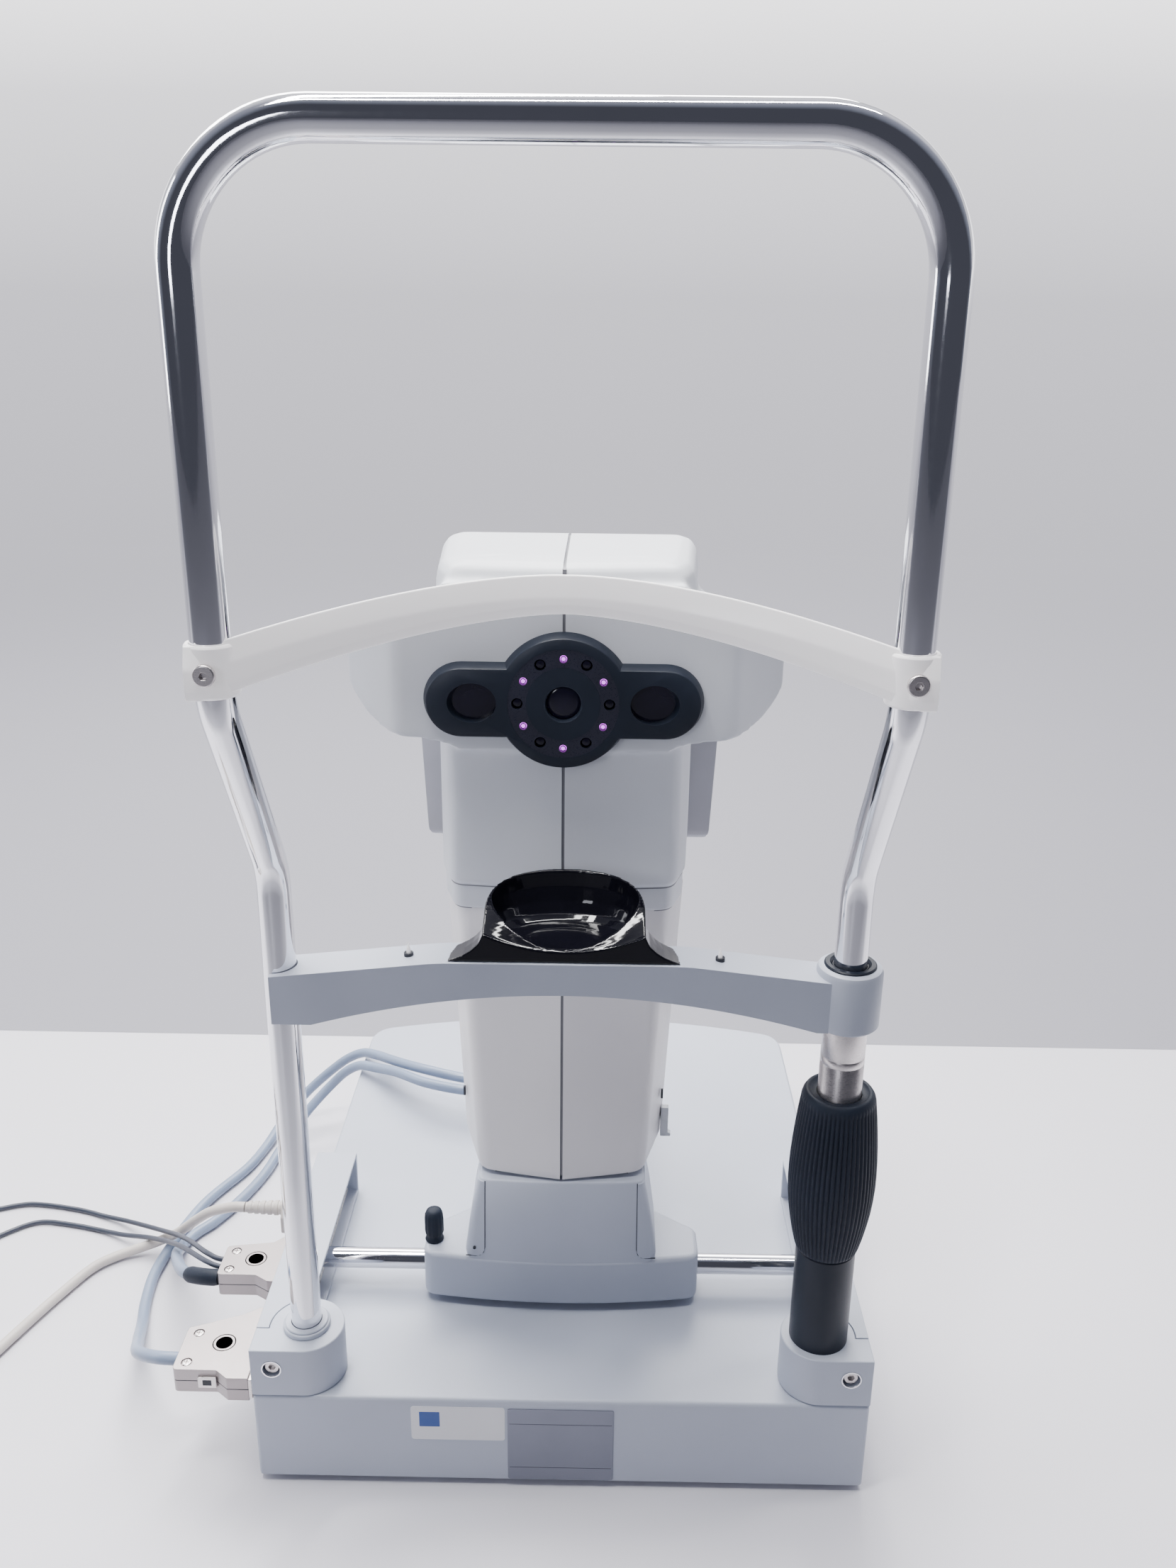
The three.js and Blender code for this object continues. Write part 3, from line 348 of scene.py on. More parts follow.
def tube(path, radius, sides=20):
    """A round tube along a path of points. radius is one number or one for each point."""
    points = [Vector(p) for p in path]
    radii = radius if isinstance(radius, list) else [radius] * len(points)
    ahead = (points[1] - points[0]).normalized()
    across = ahead.orthogonal().normalized()
    rings = []
    for i, here in enumerate(points):
        before = points[max(0, i - 1)]
        after = points[min(len(points) - 1, i + 1)]
        now = (after - before).normalized()
        across = (ahead.rotation_difference(now) @ across).normalized()
        ahead = now
        up = ahead.cross(across)
        rings.append([tuple(here + radii[i] * (across * math.cos(t) + up * math.sin(t)))
                      for t in (2 * math.pi * k / sides for k in range(sides))])
    return skin(rings)


# ---------------------------------------------------------------- solids through Blender's own tools
def bench_object(solid):
    """A temporary object, in millimetres, that a modifier works on."""
    mesh = bpy.data.meshes.new("bench")
    mesh.from_pydata([Vector(v) for v in solid[0]], [], solid[1])
    tidy = bmesh.new()
    tidy.from_mesh(mesh)
    bmesh.ops.remove_doubles(tidy, verts=tidy.verts, dist=1e-4)
    bmesh.ops.recalc_face_normals(tidy, faces=tidy.faces)
    tidy.to_mesh(mesh)
    tidy.free()
    made = bpy.data.objects.new("bench", mesh)
    bpy.context.scene.collection.objects.link(made)
    return made


def finished_bench(work, *others):
    """The solid that a temporary object has become; the object and its helpers are removed."""
    bpy.context.view_layer.update()
    graph = bpy.context.evaluated_depsgraph_get()
    mesh = bpy.data.meshes.new_from_object(work.evaluated_get(graph))
    solid = [tuple(v.co) for v in mesh.vertices], [tuple(p.vertices) for p in mesh.polygons]
    bpy.data.meshes.remove(mesh)
    for o in (work, *others):
        bpy.data.objects.remove(o)
    return solid


def worked(solid, operation, *tools):
    """solid after a boolean operation with each tool."""
    work = bench_object(solid)
    helpers = [bench_object(tool) for tool in tools]
    for helper in helpers:
        step = work.modifiers.new("step", "BOOLEAN")
        step.operation = operation
        step.solver = "EXACT"
        step.object = helper
    return finished_bench(work, *helpers)


def carved(solid, *tools):
    return worked(solid, "DIFFERENCE", *tools)


def shared(solid, *tools):
    return worked(solid, "INTERSECT", *tools)


def softened(solid, grid, rounds):
    """Overlapping closed solids as one, with their edges and inner corners rounded as a moulding's are."""
    work = bench_object(solid)
    remesh = work.modifiers.new("remesh", "REMESH")
    remesh.mode = "VOXEL"
    remesh.voxel_size = grid
    smooth = work.modifiers.new("smooth", "SMOOTH")
    smooth.factor = 0.5
    smooth.iterations = rounds
    return finished_bench(work)


def half_of(solid, side, seam):
    """The part of a solid to one side of the middle, closed along the seam."""
    work = bench_object(solid)
    mesh = bmesh.new()
    mesh.from_mesh(work.data)
    cut = bmesh.ops.bisect_plane(mesh, geom=[*mesh.verts, *mesh.edges, *mesh.faces],
        plane_co=(side * seam, 0, 0), plane_no=(side, 0, 0), clear_inner=True)
    rim = [e for e in cut["geom_cut"] if isinstance(e, bmesh.types.BMEdge)]
    bmesh.ops.edgeloop_fill(mesh, edges=rim)
    mesh.to_mesh(work.data)
    mesh.free()
    return finished_bench(work)


# ---------------------------------------------------------------- pieces
def build(name, solid, finish, body, stands_for=(), edge=0.0, sharp=38.0, segments=3):
    """A piece of the object: a solid in millimetres with its finish, riding on a body of the frame."""
    mesh = bpy.data.meshes.new(name)
    across = INSTRUMENT_X if body in INSTRUMENT_BODIES else 0.0
    mesh.from_pydata([spot(x + across, y, z) for x, y, z in solid[0]], [], solid[1])
    tidy = bmesh.new()
    tidy.from_mesh(mesh)
    bmesh.ops.remove_doubles(tidy, verts=tidy.verts, dist=1e-7)
    bmesh.ops.recalc_face_normals(tidy, faces=tidy.faces)
    tidy.to_mesh(mesh)
    tidy.free()
    mesh.polygons.foreach_set("use_smooth", [True] * len(mesh.polygons))
    mesh.set_sharp_from_angle(angle=math.radians(sharp))
    mesh.materials.append(finish.material)
    piece = bpy.data.objects.new(name, mesh)
    bpy.context.scene.collection.objects.link(piece)
    if edge:
        bevel = piece.modifiers.new("rounded_edges", "BEVEL")
        bevel.width = edge * MM
        bevel.segments = segments
        bevel.limit_method = "ANGLE"
        bevel.angle_limit = math.radians(sharp)
        bevel.harden_normals = True
    if body:
        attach(piece, body)
    if stands_for:
        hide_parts(*stands_for)
    return piece


def dress(node, finish, edge=0.0):
    """A CAD node that keeps its own shape, with its finish and slightly rounded edges."""
    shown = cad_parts[node]
    shown.data.materials.clear()
    shown.data.materials.append(finish.material)
    if edge:
        bevel = shown.modifiers.new("rounded_edges", "BEVEL")
        bevel.width = edge * MM
        bevel.segments = 2
        bevel.limit_method = "ANGLE"
        bevel.angle_limit = math.radians(40)


def socket_screw(radius, height, socket):
    """A cap screw standing along -Y from y = 0, its head's rim rounded and its hexagonal socket open."""
    head = turned_y([(radius, 0.0), (radius, -height + 0.6), (radius - 0.5, -height)], sides=36)
    hexagon = [(socket * math.cos(t), socket * math.sin(t)) for t in (math.pi / 3 * i for i in range(6))]
    return carved(head, raised_y(hexagon, -height - 1, -height + 1.8))


# ---------------------------------------------------------------- base
def base_plan(inset=0.0):
    """Straight front and sides, rounded rear corners and a rear edge that bows out."""
    half = BASE_HALF - inset
    bow = 21.0
    corner_x = half - 14
    corner_y = BASE_DEPTH - inset - bow
    right = [(half, inset), (half, corner_y - 22)]
    right += curve_between((half, corner_y - 22), (half, corner_y - 4), (corner_x, corner_y), 6)
    right += curve_between((corner_x, corner_y), (0, corner_y + 2 * bow), (-corner_x, corner_y), 24)
    right += curve_between((-corner_x, corner_y), (-half, corner_y - 4), (-half, corner_y - 22), 6)
    return right + [(-half, inset)]


build("base_shell", raised_z(base_plan(), SKIRT_BOTTOM, BASE_TOP), PAINT, "root", ["base_housing"],
      edge=2.2)
dress("base_bottom_plate", SATIN, 0.5)
dress("power_supply", ALLOY, 1.0)
dress("control_board", BOARD_GREEN)

# blank sticker and rating plate on the front face of the base
def label(name, finish, x, z, proud=0.25, radius=1.0):
    corners = [(x[0], z[0], radius), (x[1], z[0], radius), (x[1], z[1], radius), (x[0], z[1], radius)]
    return build(name, raised_y(rounded(corners), -proud, 0.4), finish, "root", edge=0.1)


label("front_sticker", WHITE_LABEL, (-80.5, -30), (31.5, 54), radius=2.0)
label("front_sticker_panel", BLUE_INK, (-76, -65), (40.5, 50.5), proud=0.32, radius=0.4)
label("front_rating_plate", GREY_LABEL, (-28.6, 28.6), (5, 53.4), proud=0.45, radius=1.5)
for n, z in enumerate((13.2, 43.2)):
    label(f"rating_plate_rule_{n + 1}", SEAL_DARK, (-27.6, 27.6), (z, z + 0.35), proud=0.5, radius=0.1)


def clamp_plan():
    """A block across the corner of the base with a round post seat behind it."""
    seat = arc(POST_X, POST_Y, 20.0, -8.6, 270, 44)
    return [(BASE_HALF, 0), (BASE_HALF, SEAM_Y)] + seat


CLAMP_SCREW = (153.5, 77.0)


def post_clamp(side):
    solid = raised_z(clamp_plan(), BASE_TOP + 0.3, BLOCK_TOP)
    counterbore = moved(turned_y([(5.0, -1), (5.0, 5)], sides=40), CLAMP_SCREW[0], 0, CLAMP_SCREW[1])
    solid = carved(solid, counterbore)
    return solid if side > 0 else mirrored(solid)


def rail_cover(side):
    """The hood over a rack: a roof and an outer wall, open towards the middle between its ends."""
    outer = block((RAIL_INNER, BASE_HALF), (SEAM_Y + 0.3, RAIL_END), (BASE_TOP + 0.3, BLOCK_TOP))
    channel = block((RAIL_INNER - 5, BASE_HALF - 3), (54, RAIL_END - 3), (62.1, BLOCK_TOP - 2))
    seat = turned_z([(20.3, BASE_TOP - 2), (20.3, BLOCK_TOP + 2)], POST_X, POST_Y, 64)
    solid = carved(outer, channel, seat)
    return solid if side > 0 else mirrored(solid)


SIDES = (("left", -1), ("right", 1))
for side_name, side in SIDES:
    build(f"clamp_{side_name}", post_clamp(side), PAINT, "root", [f"post_clamp_{side_name}"], edge=0.8)
    build(f"rail_{side_name}", rail_cover(side), PAINT, "root", [f"rail_cover_{side_name}"], edge=0.8)
    build(f"clamp_screw_{side_name}",
          moved(socket_screw(4.1, 3.4, 2.0), side * CLAMP_SCREW[0], 4.9, CLAMP_SCREW[1]), STEEL, "root",
          edge=0.15)
    build(f"clamp_screw_seat_{side_name}", moved(turned_y([(5.35, -0.25), (5.35, 0.2), (4.7, 0.2),
                      (4.7, -0.25)], sides=40, closed=True), side * CLAMP_SCREW[0], 0, CLAMP_SCREW[1]),
          CHROME, "root")
    dress(f"rack_{side_name}", GEAR, 0.1)
    dress(f"pinion_{side_name}", GEAR, 0.1)
    dress(f"axle_guide_{side_name}", GEAR, 0.3)


# ---------------------------------------------------------------- head frame and forehead rest
def post_stations(side, foot):
    """Half of the head frame's centreline, from a post's foot up to the middle of the top bar."""
    x = side * POST_X
    steps = 12
    low = [(x, POST_Y - BEND_R + BEND_R * math.cos(BEND_ANGLE * i / steps),
            BEND_START + BEND_R * math.sin(BEND_ANGLE * i / steps)) for i in range(steps + 1)]
    lean = (POST_Y - UPPER_POST_Y - 2 * BEND_R * (1 - math.cos(BEND_ANGLE))) / math.sin(BEND_ANGLE)
    bend_end = low[-1][2] + lean * math.cos(BEND_ANGLE) + BEND_R * math.sin(BEND_ANGLE)
    high = [(x, UPPER_POST_Y + BEND_R - BEND_R * math.cos(BEND_ANGLE * i / steps),
             bend_end - BEND_R * math.sin(BEND_ANGLE * i / steps)) for i in range(steps, -1, -1)]
    corner = [(side * (POST_X - TOP_CORNER_R + TOP_CORNER_R * math.cos(t)), UPPER_POST_Y,
               TOP_BAR_Z - TOP_CORNER_R + TOP_CORNER_R * math.sin(t))
              for t in (math.pi / 2 * i / 20 for i in range(21))]
    return [(x, POST_Y, foot)] + low + high + corner


frame_line = post_stations(-1, 62.5) + post_stations(1, 62.5)[::-1]
build("head_frame", tube(frame_line, TUBE_R, 36), CHROME, "root", ["head_frame_tube"])
build("post_collar", turned_z([(8.3, 89.3), (12.5, 89.3), (12.5, 91.2), (12.2, 91.6), (11.5, 91.8),
                               (11.5, 92.6), (11.1, 93), (8.3, 93)], -POST_X, POST_Y, closed=True),
      PAINT, "root", ["post_collar_left"])


def rest_band():
    """The forehead band: a strip that hangs back in an arc between the posts, deeper at its ends."""
    reach = POST_X + 8
    steps = 56
    rings = []
    for i in range(steps + 1):
        x = -reach + 2 * reach * i / steps
        across = min(1, abs(x) / POST_X)
        front = -56 + 46 * (1 - across ** 2)
        bottom = 486 - 27 * across ** 1.5
        top = bottom + 16 + 5.5 * across
        section = rounded([(front + 0.7, bottom, 1.2), (front + 5, bottom, 1.2), (front + 5, top, 1.0),
                           (front + 3.3, top, 1.2), (front + 0.4, top - 9, 9.0),
                           (front, bottom + 4, 3.0)], 4)
        rings.append([(x, y, z) for y, z in section])
    return skin(rings)


build("forehead_band", rest_band(), GLOWING_REST, "root", ["forehead_rest"], sharp=50)
for side_name, side in SIDES:
    build(f"forehead_saddle_{side_name}", turned_z([(8.3, 459), (9.6, 459), (10.4, 460), (10.4, 479.5),
                  (9.6, 480.5), (8.3, 480.5)], side * POST_X, UPPER_POST_Y, closed=True), GLOWING_REST, "root",
          edge=0.3)
    build(f"forehead_screw_{side_name}", moved(socket_screw(4.5, 2.4, 1.6), side * 137.5, -55.9, 470),
          STEEL, "root", edge=0.3)


# ---------------------------------------------------------------- chin rest
BAR_Y = (8, 30)
BAR_BOTTOM = 280
PAPER_PINS = ((1, -75), (2, 75))
PAPER_PIN_Y = 19


def chin_bar():
    """The chin rest's bar, arched below, with a fork for the left post and room for the boss on the right."""
    half = 141.0
    arch_end = 122
    arch_top = 298
    shape = [(-half, BAR_BOTTOM), (-arch_end, BAR_BOTTOM)]
    shape += curve_between((-arch_end, BAR_BOTTOM), (-60, arch_top), (0, arch_top), 14)
    shape += curve_between((0, arch_top), (60, arch_top), (arch_end, BAR_BOTTOM), 14)
    shape += [(POST_X, BAR_BOTTOM), (POST_X, 305.5)]
    shape += curve_between((66, 313.8), (60, 314.5), (52, 314.5), 3)
    shape += curve_between((-52, 314.5), (-60, 314.5), (-66, 313.8), 3)
    shape += [(-half, 305.5)]
    below, above = 270, 320
    fork_r = 8.6
    boss_r = 15.9
    fork = block((-half - 2, -POST_X), (POST_Y - fork_r, POST_Y + fork_r), (below, above))
    fork_end = turned_z([(fork_r, below), (fork_r, above)], -POST_X, POST_Y, 40)
    pin_holes = [turned_z([(1.7, 300), (1.7, above)], x, PAPER_PIN_Y, 20) for _, x in PAPER_PINS]
    boss_room = turned_z([(boss_r, below), (boss_r, above)], POST_X, POST_Y, 48)
    return carved(raised_y(shape, *BAR_Y), fork, fork_end, boss_room, *pin_holes)


build("chin_bar", chin_bar(), PAINT, "chinrest", ["chinrest_bar"], edge=1.5)
pin_bush = [(1.1, 306), (2.3, 306), (2.3, 314.4), (1.8, 314.7), (1.1, 314.4)]
pin_point = [(1.0, 307), (1.0, 315.4), (0.7, 317.2), (0.1, 319.2)]
for n, x in PAPER_PINS:
    build(f"paper_pin_bush_{n}", turned_z(pin_bush, x, PAPER_PIN_Y, 28, closed=True), SEAL_DARK,
          "chinrest", sharp=50)
    build(f"paper_pin_{n}", turned_z(pin_point, x, PAPER_PIN_Y, 20), GLOWING_REST, "chinrest", sharp=50)
build("chin_bar_boss", turned_z([(8.6, 280), (15.2, 280), (16, 281), (16, 308.5), (15.2, 310.4),
              (13.6, 311.2), (8.6, 311.2)], POST_X, POST_Y, 64, closed=True), PAINT, "chinrest")
build("boss_bush", turned_z([(8.2, 309), (12.6, 309), (12.6, 311.9), (12.0, 312.4), (10, 312.4),
                             (8.9, 311.2), (8.2, 311.2)], POST_X, POST_Y, 56, closed=True), SATIN,
      "chinrest")


CUP_FRONT = 9.5
CUP_HALF = 38.7
CUP_FOOT = 314.8
CUP_FLARE = [(CUP_FOOT, 56), (316, 52.5), (318, 48), (320.5, 44.2), (324, 40.6), (328, 38.8),
             (360, CUP_HALF)]
CUP_OVAL_Y = 26.0


def cup_outline(z):
    """The chin cup's plan at one height: a flat front that flares to the bar, and an oval back."""
    k = next(i for i in range(len(CUP_FLARE) - 1) if z <= CUP_FLARE[i + 1][0])
    low, high = CUP_FLARE[k], CUP_FLARE[k + 1]
    half = low[1] + (high[1] - low[1]) * (z - low[0]) / (high[0] - low[0])
    swell = (half - CUP_HALF) / 17.3
    back = 50 + 8.8 * min(1, (z - CUP_FOOT) / 15)
    right = [(half, CUP_FRONT), (half - 0.7 * swell, 18), (half - 3 * swell, 27)]
    for i in range(16):
        turn = math.radians(3 + 87 * i / 15)
        reach = CUP_HALF + 6 * swell * math.cos(turn) ** 3
        right.append((reach * math.cos(turn), CUP_OVAL_Y + (back - CUP_OVAL_Y) * math.sin(turn)))
    return right + [(-x, y) for x, y in reversed(right[:-1])]


def cup_top(x, y):
    """The height of the rim above a place in plan: a dip in front, corners and a back that stand up."""
    corner_height = 328.4
    back_height = 342.6
    dip_depth = 9.0
    along = min(1, max(0, (y - CUP_FRONT) / 48))
    rim = corner_height + (back_height - corner_height) * math.sin(along * math.pi / 2)
    dip = dip_depth * (1 - min(1, abs(x) / 38) ** 2) * max(0, 1 - 2.5 * along)
    return min(back_height, rim - dip)


def chin_cup():
    """The cup: its flared body, cut along the rim and hollowed by an oval bowl."""
    heights = [CUP_FOOT, 316, 318, 320.5, 324, 328, 334, 340, 346, 352]
    body = skin([[(x, y, z) for x, y in cup_outline(z)] for z in heights])
    steps = 26
    grid = [(-62 + 124 * i / steps, 4 + 60 * j / steps) for j in range(steps + 1) for i in range(steps + 1)]
    lower = [(x, y, cup_top(x, y)) for x, y in grid]
    upper = [(x, y, 370.0) for x, y in grid]
    size = steps + 1
    faces = []
    for j in range(steps):
        for i in range(steps):
            a = j * size + i
            faces.append((a, a + size, a + size + 1, a + 1))
            b = a + size * size
            faces.append((b, b + 1, b + size + 1, b + size))
    rim = list(range(size))
    rim += [size * j + size - 1 for j in range(1, size)]
    rim += [size * (size - 1) + i for i in range(size - 2, -1, -1)]
    rim += [size * j for j in range(size - 2, 0, -1)]
    for a, b in zip(rim, rim[1:] + rim[:1]):
        faces.append((a, b, b + size * size, a + size * size))
    above = (lower + upper, faces)
    hollow_rings = []
    for z, half, front, back in [(317.4, 8, 26, 34), (317.9, 20, 18, 42), (319.2, 27.5, 12.4, 47),
        (322, 31.5, 10.8, 50.6), (327, 34, 10.4, 53.4), (334, 35.4, 10.2, 55.4), (343, 36.2, 10.0, 56.4),
        (352, 36.4, 10.0, 56.6)]:
        middle = (front + back) / 2
        reach = (back - front) / 2
        hollow_rings.append([(half * math.cos(t), middle + reach * math.sin(t), z)
                             for t in (2 * math.pi * i / 48 for i in range(48))])
    return softened(carved(body, above, skin(hollow_rings)), 0.6, 3)


build("cup", chin_cup(), GLOSS, "chinrest", ["chin_cup"], sharp=180)

build("lift_tube", turned_z([(8.6, 116), (10.9, 116), (10.9, 258.2), (10.75, 258.4), (10.75, 258.7),
                             (10.9, 258.9), (10.9, 262.2), (10.75, 262.4), (10.75, 262.7), (10.9, 262.9),
                             (10.9, 279.7), (8.6, 279.7)], POST_X, POST_Y, 56, closed=True), STEEL,
      "chinrest", ["chinrest_lift_tube"])
build("sleeve", turned_z([(8.3, 84), (15.5, 84), (15.5, 147), (15, 147.6), (11.3, 147.6), (11.3, 91),
                          (8.3, 91)], POST_X, POST_Y, 64, closed=True), SATIN, "root",
      ["chinrest_sleeve"])
build("lift_knob", turned_z([(11.3, 148), (15.4, 148), (16.2, 148.6), (16.9, 150.6), (18.6, 158),
                             (19.9, 165), (21, 172), (21.8, 180), (22.2, 187), (22.2, 195), (21.9, 203),
                             (21.3, 212), (20.6, 220), (19.8, 228), (18.9, 235), (18.6, 237.5),
                             (18.0, 239.6), (17.0, 241.2), (15.8, 241.8), (14.8, 241.2), (14, 240.3),
                             (11.3, 240.2)], POST_X, POST_Y, 432, closed=True,
                            ribs=(54, 0.75, 150, 236)), KNOB, "chinrest_drive", ["chinrest_knob"],
      sharp=60)


# ---------------------------------------------------------------- axle
build("axle", turned_x([(3.2, -160.5), (4, -159.8), (4, -145.5), (5.4, -145.5), (6, -144.8), (6, 144.8),
                        (5.4, 145.5), (4, 145.5), (4, 159.8), (3.2, 160.5)], SHAFT_Y, SHAFT_Z, 40),
      CHROME, "axle", ["axle_shaft"])


# ---------------------------------------------------------------- cross slide
def slide_bulge(x):
    """The slide's front, which bows forward in the middle."""
    return SLIDE_FRONT + x * x / 980


def slide_plan():
    steps = 40
    half = SLIDE_HALF - 6
    front = [(x, slide_bulge(x)) for x in (-half + 2 * half * i / steps for i in range(steps + 1))]
    corner = slide_bulge(SLIDE_HALF)
    right = curve_between(front[-1], (SLIDE_HALF, corner), (SLIDE_HALF, corner + 7), 6)
    right += curve_between((SLIDE_HALF, 94), (SLIDE_HALF, 100), (SLIDE_HALF - 7, 103), 5)
    right += curve_between((60, 113), (54, 118), (46, 118), 4)
    left = [(-x, y) for x, y in reversed(right)]
    return front + right + left


def ring_of_plan(z, half, setback, corner, rear=117.0):
    """One level section of the tower: bowed front, rounded front corners, straight rear."""
    front = [(x, slide_bulge(x) + setback)
             for x in (-half + corner + 2 * (half - corner) * i / 24 for i in range(25))]
    right = curve_between(front[-1], (half, slide_bulge(half) + setback),
                          (half, slide_bulge(half) + setback + corner), 6) + [(half, rear)]
    return [(x, y, z) for x, y in front + right + [(-x, y) for x, y in reversed(right)]]


def tower_setback(z):
    """How far the tower's front leans back at a height."""
    return 0.4 + 3.4 * max(0, (z - 92) / 49) ** 1.6


def slide_tower():
    solid = skin([ring_of_plan(92, 55, tower_setback(92), 5),
                  ring_of_plan(120, 51.5, tower_setback(120), 5),
                  ring_of_plan(TOWER_TOP - 1.2, 47.2, tower_setback(TOWER_TOP - 1.2), 5),
                  ring_of_plan(TOWER_TOP, 46.2, tower_setback(TOWER_TOP) + 1, 4)])
    return carved(solid, block(*COLUMN_ROOM, (91, 150)))


build("slide_body", raised_z(slide_plan(), SLIDE_BOTTOM, SHOULDER_TOP), PAINT, "cross_slide",
      ["slide_housing"], edge=3.0, segments=4)
build("slide_tower", slide_tower(), PAINT, "cross_slide", edge=0.6)


def side_cover(side):
    """The thin cover on each front corner of the tower, rounded at its lower edge."""
    proud = 0.3
    rings = []
    for z, half, inner in [(95.2, 54.4, 47.5), (96.4, 55.0, 45.2), (99.5, 54.8, 43.8), (120, 52.0, 43.6),
        (TOWER_TOP - 1.0, 47.6, 43.4)]:
        y = tower_setback(z) - proud
        outer = [(x, slide_bulge(x) + y) for x in (inner + (half - 4 - inner) * i / 6 for i in range(7))]
        outer += curve_between(outer[-1], (half, slide_bulge(half) + y),
            (half, slide_bulge(half) + y + 5), 6)
        outer += [(half, 112), (half - 3, 112), (half - 3, slide_bulge(half) + y + 5),
                  (inner, slide_bulge(inner) + y + 3)]
        rings.append([(x, y, z) for x, y in outer])
    solid = skin(rings)
    return solid if side > 0 else mirrored(solid)


def cover_gap(side):
    """The dark gap between a side cover and the middle of the tower."""
    line = [(43.2, TOWER_TOP - 0.9), (43.4, 120), (43.6, 101), (44.4, 97.6), (46.4, 95.6), (49, 94.9),
            (54.6, 94.8)]
    return tube([(side * x, slide_bulge(x) + tower_setback(z) + 0.05, z) for x, z in line], 0.34, 10)


for side_name, side in SIDES:
    build(f"tower_cover_{side_name}", side_cover(side), PAINT, "cross_slide", edge=0.25)
    build(f"tower_gap_{side_name}", cover_gap(side), SEAL_DARK, "cross_slide")
build("tower_pin",
      moved(turned_y([(0.9, -0.1), (0.9, 1.0)], sides=20), -49.5, slide_bulge(49.5) - 0.35, 100.8),
      SEAL_DARK, "cross_slide")


def slide_arm():
    arm = raised_z(rounded([(-45, 110, 0), (45, 110, 0), (45, 282, 9), (-45, 282, 9)], 7), SLIDE_BOTTOM,
                   SHOULDER_TOP)
    cup = turned_z([(8.2, 96), (11.5, 107), (16, 112)], 0, STICK_Y, 40)
    return carved(arm, cup)


build("slide_arm", slide_arm(), PAINT, "cross_slide", edge=2.0)
build("stick_boot", turned_z([(7.3, 108.2), (8.2, 107.4), (9.0, 105), (10.2, 103.4), (10.8, 101.4),
                              (12.8, 99.8), (13.4, 97.6), (15.6, 96), (16.0, 93.4), (11.0, 93.4),
                              (9.6, 100), (7.1, 106.4)], 0, STICK_Y, 56, closed=True), KNOB,
      "cross_slide")
for n, y in enumerate((256.0, 270.0)):
    build(f"cable_gland_{n + 1}", turned_x([(6.6, -45.4), (6.6, -49), (5.6, -49.6), (5.6, -55),
                  (5.0, -57.2), (4.2, -58), (3.7, -58), (3.7, -45.4)], y, 84, 40, closed=True), KNOB,
          "cross_slide", sharp=50)
dress("slide_glide_plate", SATIN, 0.5)
dress("bearing_carrier", ALLOY, 0.8)
dress("lift_column", SATIN, 0.8)
dress("lift_spindle", STEEL)
build("lock_knob", turned_z([(0.4, 94.3), (5.3, 94.3), (5.5, 94.8), (5.0, 96), (4.7, 97.4), (5.2, 98.6),
                             (5.6, 100), (5.6, 108), (5.3, 111.6), (4.4, 113.8), (2.8, 114.8),
                             (0.4, 115)], -74.5, 85, 48, ribs=(12, 0.45, 98.6, 111.7)), KNOB,
      "slide_lock", ["slide_lock_knob"], sharp=60)

# ---------------------------------------------------------------- joystick
build("stick_ball", turned_z([(max(0.3, 9 * math.sin(t)), 98 - 9 * math.cos(t))
                              for t in (math.pi * i / 20 for i in range(21))], 0, STICK_Y, 48), CHROME,
      "stick_ball", ["joystick_ball"], sharp=60)
stem_profile = [(0.3, 107.4), (4.5, 107.4), (4.5, 127.6), (4.2, 128.2), (3.5, 130), (3.5, 138), (0.3, 138)]
grip_profile = [(4, 130.4), (10.4, 130.4), (11.2, 131), (12.7, 133.2), (13, 135), (12.4, 140), (11.7, 146)]
grip_profile += [(11.5, 151), (11.7, 157), (12.2, 163), (12.5, 168), (12.5, 172), (12.1, 173.8), (11, 175)]
grip_profile += [(6.4, 175), (6, 174.6), (6, 169.4), (4, 169.4)]
button_profile = [(0.3, 171.6), (5.6, 171.6), (5.6, 176.6), (5.2, 177.4), (4.4, 177.9), (0.3, 178)]
grip_ribs = (27, 0.7, 137, 169)   # how many, how deep, from and to which height
build("stick_stem", turned_z(stem_profile, 0, STICK_Y, 40), SATIN, "stick", ["joystick_stem"])
build("stick_grip", turned_z(grip_profile, 0, STICK_Y, 216, closed=True, ribs=grip_ribs), KNOB,
      "stick_grip", ["joystick_grip"], sharp=50)
build("stick_button", turned_z(button_profile, 0, STICK_Y, 40), PANEL, "stick_button", ["joystick_button"])


# ---------------------------------------------------------------- head casings
def head_plan(z, front, keel, half, mid_y, mid_half, rear, rear_half, corner):
    """One level section of a casing: a shallow keel, rounded front corners, sides that widen to the rear."""
    corner_y = front + keel * half
    right = [(0, front), ((half - corner) / 2, front + keel * (half - corner) / 2),
             (half - corner, front + keel * (half - corner))]
    lean = (mid_half - half) / (mid_y - corner_y)
    right += curve_between(right[-1], (half, corner_y), (half + lean * corner, corner_y + corner), 7)
    right += [((half + mid_half) / 2 + lean * corner / 2, (corner_y + corner + mid_y) / 2),
              (mid_half, mid_y)]
    right += curve_between(((mid_half + 2 * rear_half) / 3, (mid_y + 2 * rear) / 3), (rear_half, rear),
        (rear_half - 4, rear), 4)
    right += [(rear_half / 2, rear), (0, rear)]
    return [(x, y, z) for x, y in right + [(-x, y) for x, y in reversed(right[1:-1])]]


def trunk_section(z, more, rear_more=0.0):
    return head_plan(z, HEAD_FRONT + more, 0.1, 58.5 - more, 100, 65 - more, HEAD_REAR - rear_more,
                     72.5 - more, 6)


